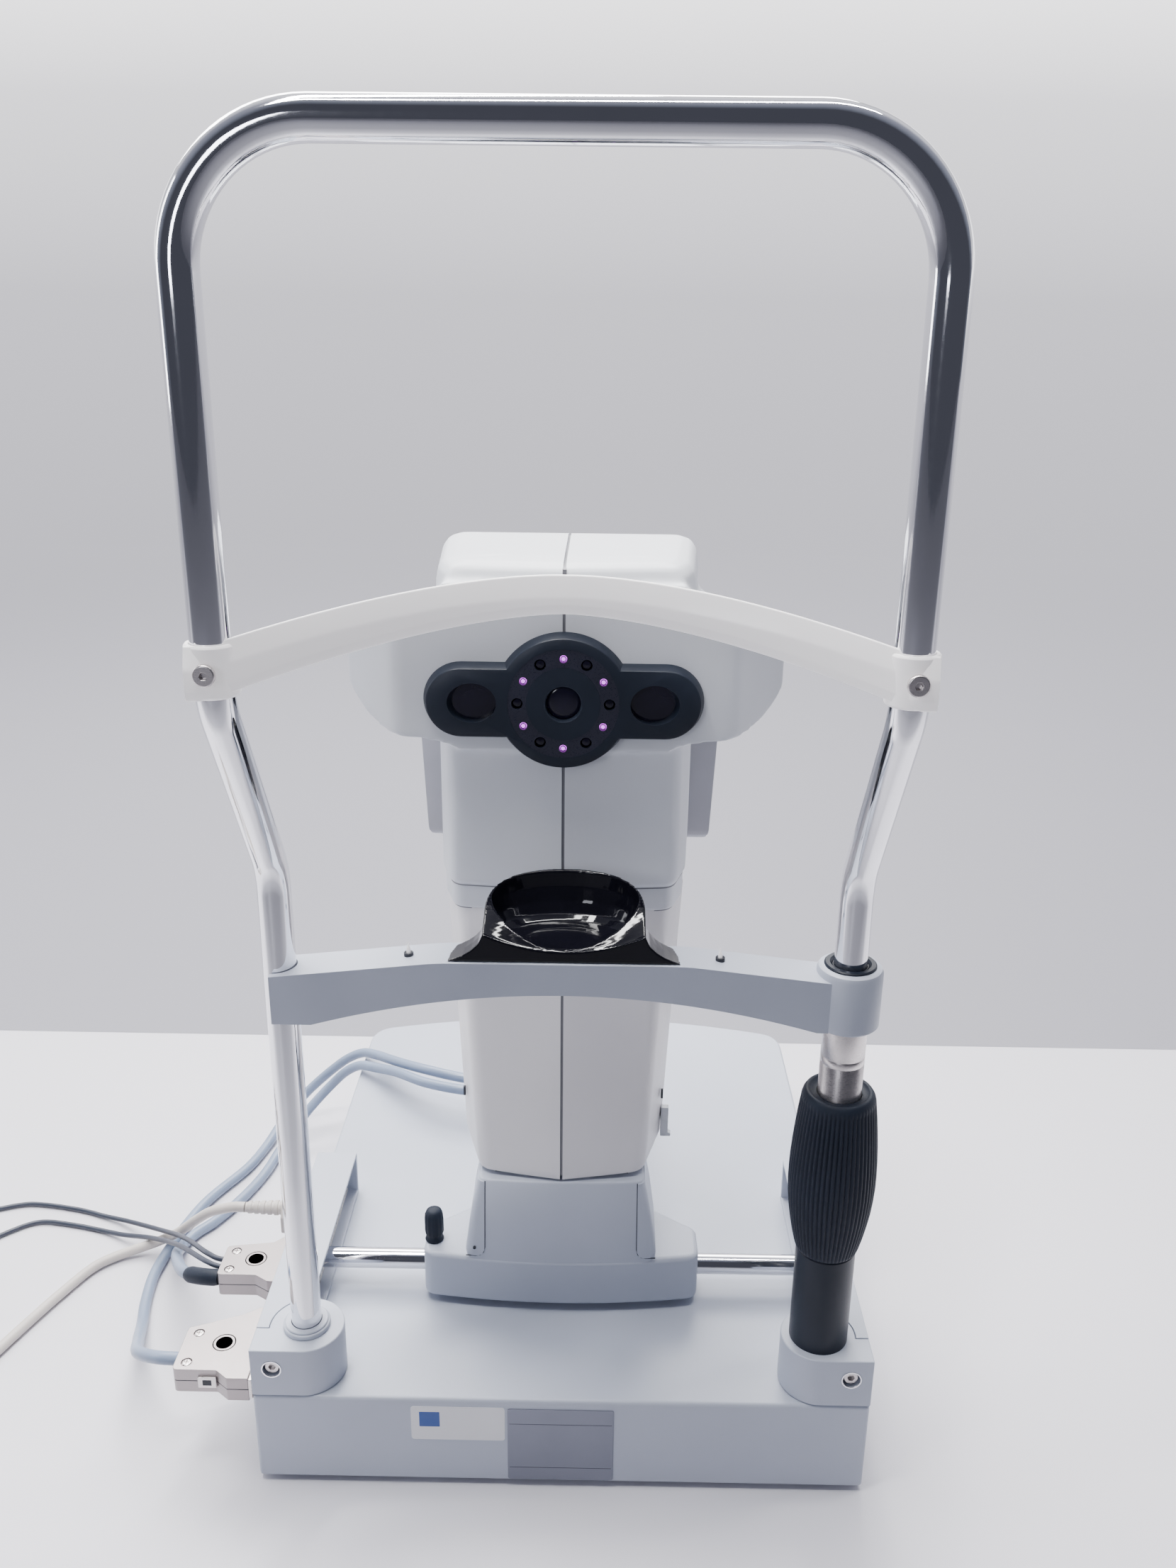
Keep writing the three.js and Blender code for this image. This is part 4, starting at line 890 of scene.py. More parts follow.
def wing_solid():
    """The wide shoulders of the head, which carry the arms of the measuring optics inside."""
    right = [(0, 400), (52, 400)]
    right += curve_between((52, 400), (60, 404.5), (72, 405.5), 5)
    right += curve_between((72, 405.5), (114, 407), (114.9, 444), 14)
    right += curve_between((114.9, 444), (114.5, 450.5), (105, 452), 6)
    right += curve_between((105, 452), (74, 456), (62.5, 478), 12)
    right += [(58, 484), (0, 484)]
    outline = right + [(-x, z) for x, z in reversed(right[1:-1])]
    face = raised_y(outline, 60, 200)
    plan = [(0, HEAD_FRONT), (79, HEAD_FRONT)]
    plan += curve_between((79, HEAD_FRONT), (84, HEAD_FRONT), (88, 76.5), 5)
    plan += [(111.6, 104)]
    plan += curve_between((111.6, 104), (113.4, 118), (113.8, 132), 4)
    plan += [(114.6, 156)]
    plan += curve_between((114.6, 156), (114.6, 169), (100, 170), 6)
    plan += [(0, 170)]
    return shared(face, raised_z(plan + [(-x, y) for x, y in reversed(plan[1:-1])], 380, 500))


def upper_casing():
    band_top = LIP_Z + LIP_HEIGHT
    trunk = skin([trunk_section(band_top - 0.6, 1.4), trunk_section(band_top + 1.6, 0),
                  trunk_section(340, 0), trunk_section(HEAD_TOP - 14, 0),
                  trunk_section(HEAD_TOP - 7, 1.2), trunk_section(HEAD_TOP - 3, 4, 2),
                  trunk_section(HEAD_TOP - 0.8, 10, 6), trunk_section(HEAD_TOP, 26, 16)])
    return softened(together(trunk, wing_solid()), 1.5, 4)


casing = carved(upper_casing(), moved(turned_y([(9.6, 60), (9.6, 92)], sides=48), 0, 0, OPTIC_Z),
                block((-66, 66), (HEAD_REAR - 3, HEAD_REAR + 10), (LIP_Z, HEAD_TOP - 10)))
LIP_INSET = 1.5
lip = skin([trunk_section(LIP_Z, LIP_INSET + 1.3), trunk_section(LIP_Z + 0.6, LIP_INSET + 0.4),
            trunk_section(LIP_Z + 1.6, LIP_INSET), trunk_section(LIP_Z + LIP_HEIGHT + 1, LIP_INSET)])


def shadow_line_ring(z, inset, tall):
    """A painted shadow line: a thin grey ring that runs round the head at one height."""
    return skin([trunk_section(z, inset), trunk_section(z + tall, inset)])


def lower_section(z, half, mid_half, more=0.0):
    return head_plan(z, HEAD_FRONT + more, 0.15, half - more, 118, mid_half - more, 150, mid_half - 7, 7)


lower = skin([lower_section(SHELL_BOTTOM - 0.2, 45.2, 57, 1.2),
              lower_section(SHELL_BOTTOM + 1.2, 45.6, 57.2, 0.3), lower_section(151, 46.4, 57.6),
              lower_section(235, 51, 61.6), lower_section(LIP_Z + 1, 55.4, 65.4)])
v_bottom = [(-80, 138), (80, 138), (80, SHELL_BOTTOM + 4), (0, SHELL_BOTTOM + 0.1), (-80, SHELL_BOTTOM + 4)]
lower_under = raised_y(v_bottom, 60, 160)
lower = carved(lower, lower_under, block(*COLUMN_ROOM, (138, 330)))
for side_name, side in SIDES:
    build(f"casing_{side_name}", half_of(casing, side, SEAM_HALF), CASING, "head",
          [f"head_shell_{side_name}"], sharp=50)
    build(f"casing_lip_{side_name}", half_of(lip, side, SEAM_HALF), CASING, "head", sharp=50)
    # painted shadow lines: thin grey rings at the top and at the bottom of the casing's band
    for level, inset, tall in ((LIP_Z + LIP_HEIGHT - 1.1, LIP_INSET - 0.12, 0.6),
        (LIP_Z - 0.35, LIP_INSET + 0.9, 0.5)):
        build(f"casing_shadow_line_{side_name}_{round(level)}",
              half_of(shadow_line_ring(level, inset, tall), side, SEAM_HALF), SEAM_AND_SHADOW_GREY, "head")
    build(f"lower_casing_{side_name}", half_of(lower, side, SEAM_HALF), LOWER_CASING, "head",
          [f"lower_shell_{side_name}"], sharp=30)
    mark = rounded([(0, 0, 0.8), (2.2, 0, 0.8), (2.2, 6, 0.8), (0, 6, 0.8)])
    build(f"side_slot_{side_name}", moved(raised_x(mark, -0.6, 0.6), side * 57.3, 106, 178), SEAL_DARK,
          "head")

# seam linings, seen as a thin grey line between the two halves of each casing
build("seam_lining_upper", block((-SEAM_HALF - 0.2, SEAM_HALF + 0.2), (73.4, 184), (312, 490.5)),
      SEAM_AND_SHADOW_GREY, "head")
build("seam_lining_lower", block((-SEAM_HALF - 0.2, SEAM_HALF + 0.2), (73.4, 81), (148, 316)), SEAM_AND_SHADOW_GREY,
      "head")
bracket = rounded([(57.4, 148.6, 0.3), (63.4, 148.6, 0.6), (63.4, 150.4, 0.6), (61.8, 151, 0.4),
                   (61.8, 168, 0.8), (57.4, 168, 0.3)], 3)
build("cable_bracket", raised_y(bracket, 112, 116), CASING, "head", edge=0.4)
dress("optics_module", ALLOY, 1.0)


def rear_plan(inset=0.0):
    half = 69 - inset
    front = HEAD_REAR + 0.4
    outline = [(-half, front), (half, front)]
    outline += curve_between((half, front), (half - 14, 205 - inset), (0, 205 - inset), 16)
    outline += curve_between((0, 205 - inset), (-half + 14, 205 - inset), (-half, front), 16)[:-1]
    return outline


rear_levels = [(LIP_Z, 1.5), (LIP_Z + 2, 0.0), (HEAD_TOP - 14, 0.0), (HEAD_TOP - 9, 1.4),
               (HEAD_TOP - 6, 4.0), (HEAD_TOP - 4.6, 9.0)]
build("head_rear", skin([[(x, y, z) for x, y in rear_plan(inset)] for z, inset in rear_levels]), CASING,
      "head", ["rear_cover"], edge=1.6)

# ---------------------------------------------------------------- display
DISPLAY_Z = (306.5, 440.0)
DISPLAY_Y = (190.0, 226.0)


def display_ring(z, half, inset):
    right = [(half - inset, DISPLAY_Y[0] + inset)]
    right += [(half - inset, DISPLAY_Y[1] - 6)]
    right += curve_between((half - inset, DISPLAY_Y[1] - 6), (half - inset, DISPLAY_Y[1] - inset),
        (half - 6, DISPLAY_Y[1] - inset), 6)
    return [(x, y, z) for x, y in right + [(-x, y) for x, y in reversed(right)]]


def display_housing():
    rings = []
    tall = DISPLAY_Z[1] - DISPLAY_Z[0]
    for up, inset in [(0, 6), (0.5, 3.6), (1.8, 1.6), (4.2, 0.3), (7, 0), (tall - 7, 0),
                      (tall - 4.2, 0.3), (tall - 1.8, 1.6), (tall - 0.5, 3.6), (tall, 6)]:
        rings.append(display_ring(DISPLAY_Z[0] + up, 85 + 6 * up / tall, inset))
    recess = block((-72, 72), (DISPLAY_Y[1] - 3.4, DISPLAY_Y[1] + 2), (322, 424))
    front_room = raised_z([(x, y) for x, y in rear_plan(-1.0)], 300, 480)
    return carved(skin(rings), recess, front_room)


build("display_case", display_housing(), PANEL, "head", ["display_housing"], edge=0.5, sharp=45)
dress("display_screen", SCREEN, 0.3)

# ---------------------------------------------------------------- aperture plate and its lights
LOBE_X = 50.0
LOBE_R = 17.0
DISC_R = 32.3


def plate_ring(y, grow):
    """The plate's outline at one depth: a disc with a round-ended lobe on each side."""
    lobe = LOBE_R + grow
    disc = DISC_R + grow
    meet = math.degrees(math.asin(lobe / disc))
    outline = arc(LOBE_X, 0, lobe, -90, 90, 24)
    outline += arc(0, 0, disc, meet, 180 - meet, 36)
    outline += arc(-LOBE_X, 0, lobe, 90, 270, 24)
    outline += arc(0, 0, disc, 180 + meet, 360 - meet, 36)
    return [(x, y, OPTIC_Z + z) for x, z in outline]


def ring_places(start):
    return [(RING_R * math.cos(t), OPTIC_Z + RING_R * math.sin(t))
            for t in (math.radians(start + 60 * i) for i in range(6))]


LIGHTS = ring_places(90)
SENSORS = ring_places(120)
LENS_BORE_R = 9.3
RING_GROOVE = (18.2, 27.2)
WINDOW_X = 44.7
WINDOW_LEAN = 0.28


def well(radius, front, back, x, z, sides=32, squeeze=(1, 1), lean=0.0, narrow=1.0):
    """A hole's tool along Y, which may be oval, lean outwards and narrow to the rear."""
    vertices, faces = turned_y([(radius, front), (radius * narrow, back)], 0, 0, sides, squeeze=squeeze)
    return [(x + a + lean * (b - PLATE_FRONT), b, z + c) for a, b, c in vertices], faces


def ring_wells():
    """The tools for the holes of the ring's lights and sensors."""
    return [well(1.9, 60, 68, x, z) for x, z in LIGHTS] + [well(2.8, 60, 66.6, x, z) for x, z in SENSORS]


def flat_ring(front, sides):
    """The flat ring round the objective, from a depth to half a millimetre into the plate."""
    inner, outer = RING_GROOVE
    back = PLATE_FRONT + 0.5
    return turned_y([(inner, front), (outer, front), (outer, back), (inner, back)], 0, OPTIC_Z, sides,
                    closed=True)


def aperture_plate():
    """The black plate round the optics: a disc with two lobes, its windows, bore and the lights' holes."""
    face = skin([plate_ring(PLATE_FRONT, -0.4), plate_ring(PLATE_FRONT + 0.15, -0.12),
                 plate_ring(PLATE_FRONT + 0.5, 0.13), plate_ring(PLATE_BACK, 2.0)])
    tools = [well(LENS_BORE_R, 60, 80, 0, OPTIC_Z, 56)]
    tools += [well(1, 60, 69.8, side * WINDOW_X, OPTIC_Z, 56, (12.4, 10.25), -side * WINDOW_LEAN, 0.92)
              for side in (-1, 1)]
    return carved(face, *tools, *ring_wells(), flat_ring(60, 72))


build("plate", aperture_plate(), SATIN, "head", ["aperture_plate"], sharp=30)
RING_COVER = Finish("ring_cover", (0.017, 0.018, 0.030), 0.30, "led_board", mottle=0.1, shine=0.3)
build("ring_cover", carved(flat_ring(PLATE_FRONT + 0.15, 96), *ring_wells()), RING_COVER, "head")
dress("led_ring", BOARD)
light_dome = [(1.7, 68.0), (1.7, 65.6), (1.55, 65.1), (1.2, 64.7), (0.65, 64.4), (0.1, 64.3)]
sensor_dish = [(2.75, 66.5), (2.2, 66.5), (2.0, 65.9), (0.2, 65.6)]
for kind, places, profile, finish in (("light", LIGHTS, light_dome, VIOLET),
    ("sensor", SENSORS, sensor_dish, LENS)):
    for n, (x, z) in enumerate(places):
        build(f"{kind}_{n + 1}", moved(turned_y(profile, sides=24), x, 0, z), finish, "head", sharp=60)
build("aperture_rim", turned_y([(LENS_BORE_R, 64.0), (LENS_BORE_R, 66.8), (8.4, 66.8), (8.8, 64.2)], 0,
          OPTIC_Z, 64, closed=True), KNOB, "head")
build("front_lens", turned_y([(8.9, 71), (8.9, 68.0), (8.3, 67.6), (6.4, 67.2), (4.4, 67.0), (2.2, 66.9),
                              (0.2, 66.9)], 0, OPTIC_Z, 56), LENS, "head", ["objective_lens"], sharp=60)
for side_name, side in SIDES:
    x = side * WINDOW_X - side * WINDOW_LEAN * 5.2
    build(f"window_{side_name}", well(1, 69.2, 69.9, x, OPTIC_Z, 48, (11.6, 9.6)), LENS, "head")

# ---------------------------------------------------------------- connectors on the left side
HOOD_Z = (53.0, 68.0)
HOOD_JOINT = 0.15         # half the gap between a hood's two halves
SIDE_FACE = -BASE_HALF - 0.5


def hood(name, outline, node, plate_y, screws, emblem):
    """A metal connector hood: two halves that meet at mid height, a flange, screws and a blank round boss."""
    middle = (HOOD_Z[0] + HOOD_Z[1]) / 2
    upper = raised_z(outline, middle + HOOD_JOINT, HOOD_Z[1])
    under = raised_z(outline, HOOD_Z[0], middle - HOOD_JOINT)
    sinks = [moved(turned_z([(2.9, HOOD_Z[1] - 1.1), (2.9, HOOD_Z[1] + 2)], sides=32), x, y, 0) for x,
             y in screws]
    build(f"{name}_upper", carved(upper, *sinks), NICKEL, "root", [node], edge=1.1, sharp=30)
    build(f"{name}_under", under, NICKEL, "root", edge=0.9, sharp=30)
    build(f"{name}_joint", raised_z([(x * 0.9995 + 0.1, y) for x, y in outline], middle - HOOD_JOINT,
              middle + HOOD_JOINT), SEAL_DARK, "root")
    build(f"{name}_flange", block((SIDE_FACE - 2.2, SIDE_FACE), (plate_y[0], plate_y[1]), (54.2, 66.8)),
          STEEL, "root", edge=0.5)
    for n, (x, y) in enumerate(screws):
        head = turned_z([(2.5, HOOD_Z[1] - 1.2), (2.5, HOOD_Z[1] - 0.3), (2.1, HOOD_Z[1])], x, y, 32)
        slots = [block((x - a, x + a), (y - b, y + b), (HOOD_Z[1] - 0.8, HOOD_Z[1] + 1)) for a,
                 b in ((1.6, 0.3), (0.3, 1.6))]
        build(f"{name}_screw_{n + 1}", carved(head, *slots), STEEL, "root")
    x, y = emblem
    ring = turned_z([(5.6, HOOD_Z[1] - 0.4), (6.6, HOOD_Z[1] - 0.4), (6.45, HOOD_Z[1] - 0.02),
                     (5.75, HOOD_Z[1] - 0.02)], x, y, 56, closed=True)
    build(f"{name}_emblem", moved(ring, z=0.02), NICKEL, "root")
    disc = turned_z([(4.9, HOOD_Z[1] - 0.5), (4.9, HOOD_Z[1] - 0.05), (4.6, HOOD_Z[1]),
                     (0.1, HOOD_Z[1])], x, y, 48)
    build(f"{name}_boss", disc, NICKEL, "root")


hood("wide_hood", rounded([(SIDE_FACE - 2, 2.5, 0.4), (SIDE_FACE - 2, 55.5, 0.4), (-174, 55.5, 1.5),
                           (-182, 50, 3), (-199, 43, 4), (-210, 39, 2), (-210, 8, 3), (-186, 8, 3),
                           (-179, 2.5, 1.5)]), "wide_connector", (2.6, 55.4),
     [(-203.5, 13.5), (-203.0, 35.0)], (-187, 28))
hood("narrow_hood", rounded([(SIDE_FACE - 2, 77, 0.4), (SIDE_FACE - 2, 119, 0.4), (-172, 119, 1.5),
                             (-180, 111, 3), (-207, 107, 2.5), (-207, 82, 2.5), (-184, 82, 3),
                             (-176, 77, 1.5)]), "narrow_connector", (77.1, 118.9),
     [(-200.8, 86.8), (-200.5, 102.6)], (-187, 96))
build("wide_hood_latch", block((-196, -186), (6.6, 8.4), (57, 64)), STEEL, "root", edge=0.4)
build("wide_hood_latch_window", block((-193.4, -188.6), (6.45, 6.9), (58.8, 62.4)), SEAL_DARK, "root",
      edge=0.1)
build("wide_hood_grommet", moved(turned_x([(3.9, -210), (5.2, -210), (5.4, -209.4), (5.4, -206),
                  (3.9, -206)], sides=32, closed=True), 0, 24, 60), SEAL_DARK, "root")


def mains_connector():
    body = raised_x(rounded([(142, 49, 2), (166, 49, 2), (166, 61, 2), (160, 68, 2.5), (148, 68, 2.5),
                             (142, 61, 2)]), -184, SIDE_FACE)
    groove = [block((x - 0.5, x + 0.5), (140, 168), (66.9, 70)) for x in (-180.5, -177.5, -174.5, -171.5)]
    return carved(body, *groove)


build("mains_inlet_plug", mains_connector(), BEIGE, "root", ["mains_connector"], edge=0.6)


def ribbed_relief(start, end, thick, thin, ribs):
    """A bend relief along an axis: a taper of rings with grooves between, as (radius, place) pairs."""
    profile = []
    for i in range(ribs):
        along = i / ribs
        step = (end - start) / ribs
        r = thick + (thin - thick) * along
        a = start + step * i
        profile += [(r, a + step * 0.04), (r, a + step * 0.56), (r * 0.84, a + step * 0.64),
                    (r * 0.84, a + step * 0.96)]
    return profile


relief = ribbed_relief(-183.5, -209.3, 5.0, 3.7, 6)
build("mains_relief", turned_x(relief, 154, 60, 40), BEIGE, "root", sharp=30)


# ---------------------------------------------------------------- cords
MAINS_R = 3.25
THIN_R = 1.6
BLUE_R = 3.6


def smooth_route(points, spacing):
    """A centripetal Catmull-Rom curve through the points, sampled about every spacing mm."""
    points = [Vector(p) for p in points]
    ends = [2 * points[0] - points[1], *points, 2 * points[-1] - points[-2]]
    found = [points[0]]
    for k in range(1, len(ends) - 2):
        a, b, c, d = ends[k - 1:k + 3]
        t0 = 0.0
        t1 = t0 + (b - a).length ** 0.5
        t2 = t1 + (c - b).length ** 0.5
        t3 = t2 + (d - c).length ** 0.5
        steps = max(1, round((c - b).length / spacing))
        for i in range(1, steps + 1):
            t = t1 + (t2 - t1) * i / steps
            a1 = a.lerp(b, (t - t0) / (t1 - t0))
            a2 = b.lerp(c, (t - t1) / (t2 - t1))
            a3 = c.lerp(d, (t - t2) / (t3 - t2))
            b1 = a1.lerp(a2, (t - t0) / (t2 - t0))
            b2 = a2.lerp(a3, (t - t1) / (t3 - t1))
            found.append(b1.lerp(b2, (t - t1) / (t2 - t1)))
    return found


def coil_line(centre, first, turn_way, columns, layers, extra, tip, per_turn=24):
    """A wound coil's centreline, from beside first to tip: inwards on the table, then outwards on top.

    columns are the turns' radii from the outermost in; extra is the last part of a turn.
    """
    start = Vector(first) - Vector(centre)
    start_angle = math.atan2(start.y, start.x)
    start_r = start.xy.length
    down, up = layers
    radii = [*columns, *columns[::-1]]
    total = len(radii) - 1 + extra
    tip_offset = Vector(tip) - Vector(centre)
    tip_r = tip_offset.xy.length
    change = 0.17
    found = []
    for i in range(1, round(total * per_turn)):
        turns = i / per_turn
        k = min(int(turns), len(radii) - 1)
        within = turns - k
        before = start_r if k == 0 else radii[k - 1]
        share = min(1, within / change)
        r = before + (radii[k] - before) * share * share * (3 - 2 * share)
        z = down
        rise_start = len(columns) - change
        if turns > rise_start:
            lift = min(1, (turns - rise_start) / change)
            z = down + (up - down) * lift * lift * (3 - 2 * lift)
        leave = max(0, (turns - (total - change)) / change)
        leave = leave * leave * (3 - 2 * leave)
        r += (tip_r - r) * leave
        z += (tip[2] - z) * leave
        angle = start_angle + turn_way * 2 * math.pi * turns
        found.append(Vector((centre[0] + r * math.cos(angle), centre[1] + r * math.sin(angle), z)))
    return found


def curve_cord(name, points, radius, finish):
    """A round cord as a curve with one spline through the points."""
    data = bpy.data.curves.new(name, "CURVE")
    data.dimensions = "3D"
    data.bevel_depth = radius * MM
    data.bevel_resolution = 5
    data.resolution_u = 5
    data.use_fill_caps = True
    spline = data.splines.new("BEZIER")
    spline.bezier_points.add(len(points) - 1)
    for knot, point in zip(spline.bezier_points, points):
        knot.co = spot(*point)
        knot.handle_left_type = "AUTO"
        knot.handle_right_type = "AUTO"
    data.materials.append(finish.material)
    cord = bpy.data.objects.new(name, data)
    bpy.context.scene.collection.objects.link(cord)
    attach(cord, "root")
    return cord


def coil_tie(name, centre, angle, middle_r, half_across, low, high):
    """A narrow strap wrapped round a coil's section."""
    out = Vector((math.cos(angle), math.sin(angle), 0))
    along = Vector((-out.y, out.x, 0))
    loops = []
    for grow in (0.0, 0.9):
        corners = rounded([(-half_across - grow, low - grow * 0.4, 2),
                           (half_across + grow, low - grow * 0.4, 2),
                           (half_across + grow, high + grow, 2.5),
                           (-half_across - grow, high + grow, 2.5)], 4)
        loops.append([Vector(centre) + out * (middle_r + a) + Vector((0, 0, b)) for a, b in corners])
    inner, outer = loops
    rings = []
    for wide, loop in ((-4, inner), (4, inner), (4, outer), (-4, outer)):
        rings.append([tuple(p + along * wide) for p in loop])
    return build(name, skin(rings, closed=True), SEAL_DARK, "root", edge=0.15)


MAINS_ROUTE = [(-209.8, 154, 60), (-216, 154.2, 60), (-226, 157, 56), (-237.4, 164.8, 47),
               (-253.1, 176.1, 30), (-267.4, 182.2, 15.8), (-281.8, 180.6, 9.2), (-300, 176, 4.4),
               (-316, 164, 3.7), (-329, 138, 3.7), (-340, 110, 3.7), (-349, 85, 3.7), (-357.2, 62, 3.7)]
THIN_ROUTE_A = [(-207.8, 104, 60), (-213, 105, 60), (-221, 111, 58.5), (-244, 142.6, 42),
                (-259, 162.6, 30), (-279.4, 183.8, 17), (-311.3, 207.2, 5), (-332, 216, 2.2),
                (-350, 222, 2), (-390, 227.6, 2), (-408, 222, 2), (-437, 212.5, 2)]
THIN_ROUTE_B = [(-207.8, 97.5, 60), (-212, 98.5, 60), (-220, 104, 58.5), (-246.7, 136.5, 42),
                (-266.5, 160.3, 27), (-287.5, 180.8, 13), (-310, 193.5, 4.5), (-326, 200, 2.2),
                (-350, 206, 2), (-375, 208, 2), (-395, 193.6, 2), (-410, 176, 2)]
BLUE_ROUTE_A = [(-210.8, 24, 60), (-222, 25.5, 59), (-240, 40, 48), (-257, 78, 21), (-266.6, 108.6, 6.5),
                (-272, 130, 4.1), (-275, 161, 3.9), (-264, 227, 3.9), (-243, 273, 3.9), (-236, 300, 4.1),
                (-229, 327, 9), (-213.6, 340, 25), (-191.8, 344, 45), (-177, 341.5, 57.5),
                (-165, 337, 64.5), (-150, 324, 70)]
BLUE_ROUTE_B = [(-207.8, 88.5, 60), (-216, 90, 59), (-232, 101, 52), (-247, 127, 38), (-258, 155.2, 22),
                (-263.5, 176, 8), (-264, 187, 4.2), (-259, 198, 3.9), (-251, 209, 3.9), (-238, 236, 3.9),
                (-229, 265, 3.9), (-223, 292, 7), (-207.5, 313, 25), (-187.7, 324, 45),
                (-176, 322.5, 57), (-165, 318.5, 64.5), (-150, 307, 70)]
BLUE_INNER_A = [(-150, 324, 70), (-132, 301, 79), (-108, 280, 86), (-84, 271, 86), (-70, 270, 84.5),
                (-58, 270, 84)]
BLUE_INNER_B = [(-150, 307, 70), (-132, 289, 78), (-108, 268, 83), (-84, 257, 85), (-70, 256, 84.3),
                (-58, 256, 84)]

# mains lead, wound and tied beside the base, with its wall plug
MAINS_COIL = (-405.0, 45.0, 0.0)
PLUG_TIP = (-452.6, 62.0, 19.4)
mains_line = smooth_route(MAINS_ROUTE, 9)
mains_line += coil_line(MAINS_COIL, MAINS_ROUTE[-1], -1, [42.75, 36.2, 29.65], (3.7, 10.3), 0.609, PLUG_TIP)
mains_line += [Vector(PLUG_TIP), Vector(PLUG_TIP) + Vector((0, 4, 0))]
mains = curve_cord("mains_cord", mains_line, MAINS_R, BEIGE)

plug_relief = ribbed_relief(PLUG_TIP[1] + 25.2, PLUG_TIP[1], 7.8, 3.9, 7)
plug_body = [(8, 87.2), (12.6, 88.0), (14.2, 90.2), (15.6, 97), (17.6, 106), (18.8, 112), (19, 115)]
plug_body += [(19, 118.6), (18.4, 119.2)]
plug_parts = [moved(turned_y(profile), PLUG_TIP[0], 0, PLUG_TIP[2]) for profile in (plug_relief, plug_body)]
wall_plug = build("mains_plug", together(*plug_parts), BEIGE, "root", ["wall_plug"], sharp=35)
pin_profile = [(2.4, 119), (2.4, 136.4), (2.1, 137.5), (1.3, 138)]
for n, x in enumerate((-9.5, 9.5)):
    pin = moved(turned_y(pin_profile, sides=28), PLUG_TIP[0] + x, 0, PLUG_TIP[2])
    build(f"mains_plug_pin_{n + 1}", pin, CHROME, "root")
mains_tie = coil_tie("mains_tie", MAINS_COIL, math.radians(-115), 36.2, 10.0, 0.3, 13.8)
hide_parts("mains_lead", "mains_coil")


def small_plug(name, tip, way, node):
    """A small round plug: ribbed relief, body and metal sleeve with a bore. way is where it points, -Y or +X."""
    relief_profile = ribbed_relief(12.0, 0.0, 4.0, 2.0, 5)
    body = [(4.4, 12), (5.3, 12.8), (5.5, 14), (5.5, 22.4), (5.0, 23)]
    sleeve = [(2.8, 21), (4.7, 21), (4.7, 31.6), (4.4, 32), (3.0, 32), (2.8, 31)]
    turned = [turned_y(relief_profile, sides=32), turned_y(body, sides=40),
              turned_y(sleeve, sides=40, closed=True)]
    made = []
    for solid, finish, part in zip(turned, (DARK_SHEATH, DARK_SHEATH, STEEL), ("relief", "body", "sleeve")):
        if way == "-Y":
            placed = [(tip[0] - x, tip[1] - y, tip[2] + z) for x, y, z in solid[0]]
        else:
            placed = [(tip[0] + y, tip[1] - x, tip[2] + z) for x, y, z in solid[0]]
        made.append(build(f"{name}_{part}", (placed, solid[1]), finish, "root", [node]))
    return made


def thin_cord(name, route, centre, extra, tip, tie_angle, plug_way, nodes):
    """One of the two thin leads: its run along the table, a small tied coil and its plug."""
    line = smooth_route(route, 9)
    line += coil_line(centre, route[-1], 1, [22.55, 19.25, 15.95, 12.65], (2.1, 5.4), extra, tip)
    into_plug = Vector((0, -3, 0)) if plug_way == "-Y" else Vector((3, 0, 0))
    line += [Vector(tip), Vector(tip) + into_plug]
    cord = curve_cord(name, line, THIN_R, DARK_SHEATH)
    pieces = small_plug(f"{name}_plug", tip, plug_way, nodes[2])
    tie = coil_tie(f"{name}_tie", centre, tie_angle, 17.6, 6.7, 0.35, 7.2)
    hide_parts(nodes[0], nodes[1])


thin_cord("thin_cord_a", THIN_ROUTE_A, (-447.0, 184.0, 0.0), 0.338, (-474.2, 178, 6), math.radians(-60),
          "-Y", ("thin_lead_a", "thin_coil_a", "thin_plug_a"))
thin_cord("thin_cord_b", THIN_ROUTE_B, (-408.0, 148.0, 0.0), 0.518, (-403, 121.2, 6), math.radians(0),
          "+X", ("thin_lead_b", "thin_coil_b", "thin_plug_b"))


def blue_cable(name, route, node):
    """A length of blue-grey cable along a curved route between two bodies of the frame."""
    line = smooth_route(route, 3)
    piece = build(name, tube(line, BLUE_R, 24), BLUE_SHEATH, None, [node], sharp=60)
    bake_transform(piece)
    return line


shrink_line = smooth_route(BLUE_ROUTE_B, 3)[:10]
shrink = build("heat_shrink", tube(shrink_line, [4.3] + [4.9] * (len(shrink_line) - 2) + [4.2], 28),
               KNOB, "root", sharp=50)
blue_cable("blue_cable_a", BLUE_ROUTE_A,
           "blue_cable_a_outer")
blue_cable("blue_cable_b", BLUE_ROUTE_B,
           "blue_cable_b_outer")
blue_cable("blue_cable_a_end", BLUE_INNER_A,
           "blue_cable_a_inner")
blue_cable("blue_cable_b_end", BLUE_INNER_B,
           "blue_cable_b_inner")


# ---------------------------------------------------------------- stage: table, backdrop and lights
TABLE = Finish("table", (0.80, 0.80, 0.84), 0.5, mottle=0.01, mottle_size=300)
BACKDROP = Finish("backdrop", (0.16, 0.16, 0.18), 0.7, mottle=0.01, mottle_size=400,
                  glow=((0.86, 0.86, 0.93), 3.2))
TABLE_END = 470.0         # where the table's far edge meets the backdrop
STAGE_HALF = 30000.0
TURN_START = 3200.0       # where the backdrop begins to turn up
TURN_R = 900.0


def stage_sheet(name, profile, finish):
    """A wide pale surface that follows (y, z) points."""
    mesh = bpy.data.meshes.new(name)
    vertices = [spot(x, y, z) for y, z in profile for x in (-STAGE_HALF, STAGE_HALF)]
    faces = [(2 * i, 2 * i + 1, 2 * i + 3, 2 * i + 2) for i in range(len(profile) - 1)]
    mesh.from_pydata(vertices, [], faces)
    mesh.polygons.foreach_set("use_smooth", [True] * len(faces))
    mesh.materials.append(finish.material)
    sheet = bpy.data.objects.new(name, mesh)
    bpy.context.scene.collection.objects.link(sheet)


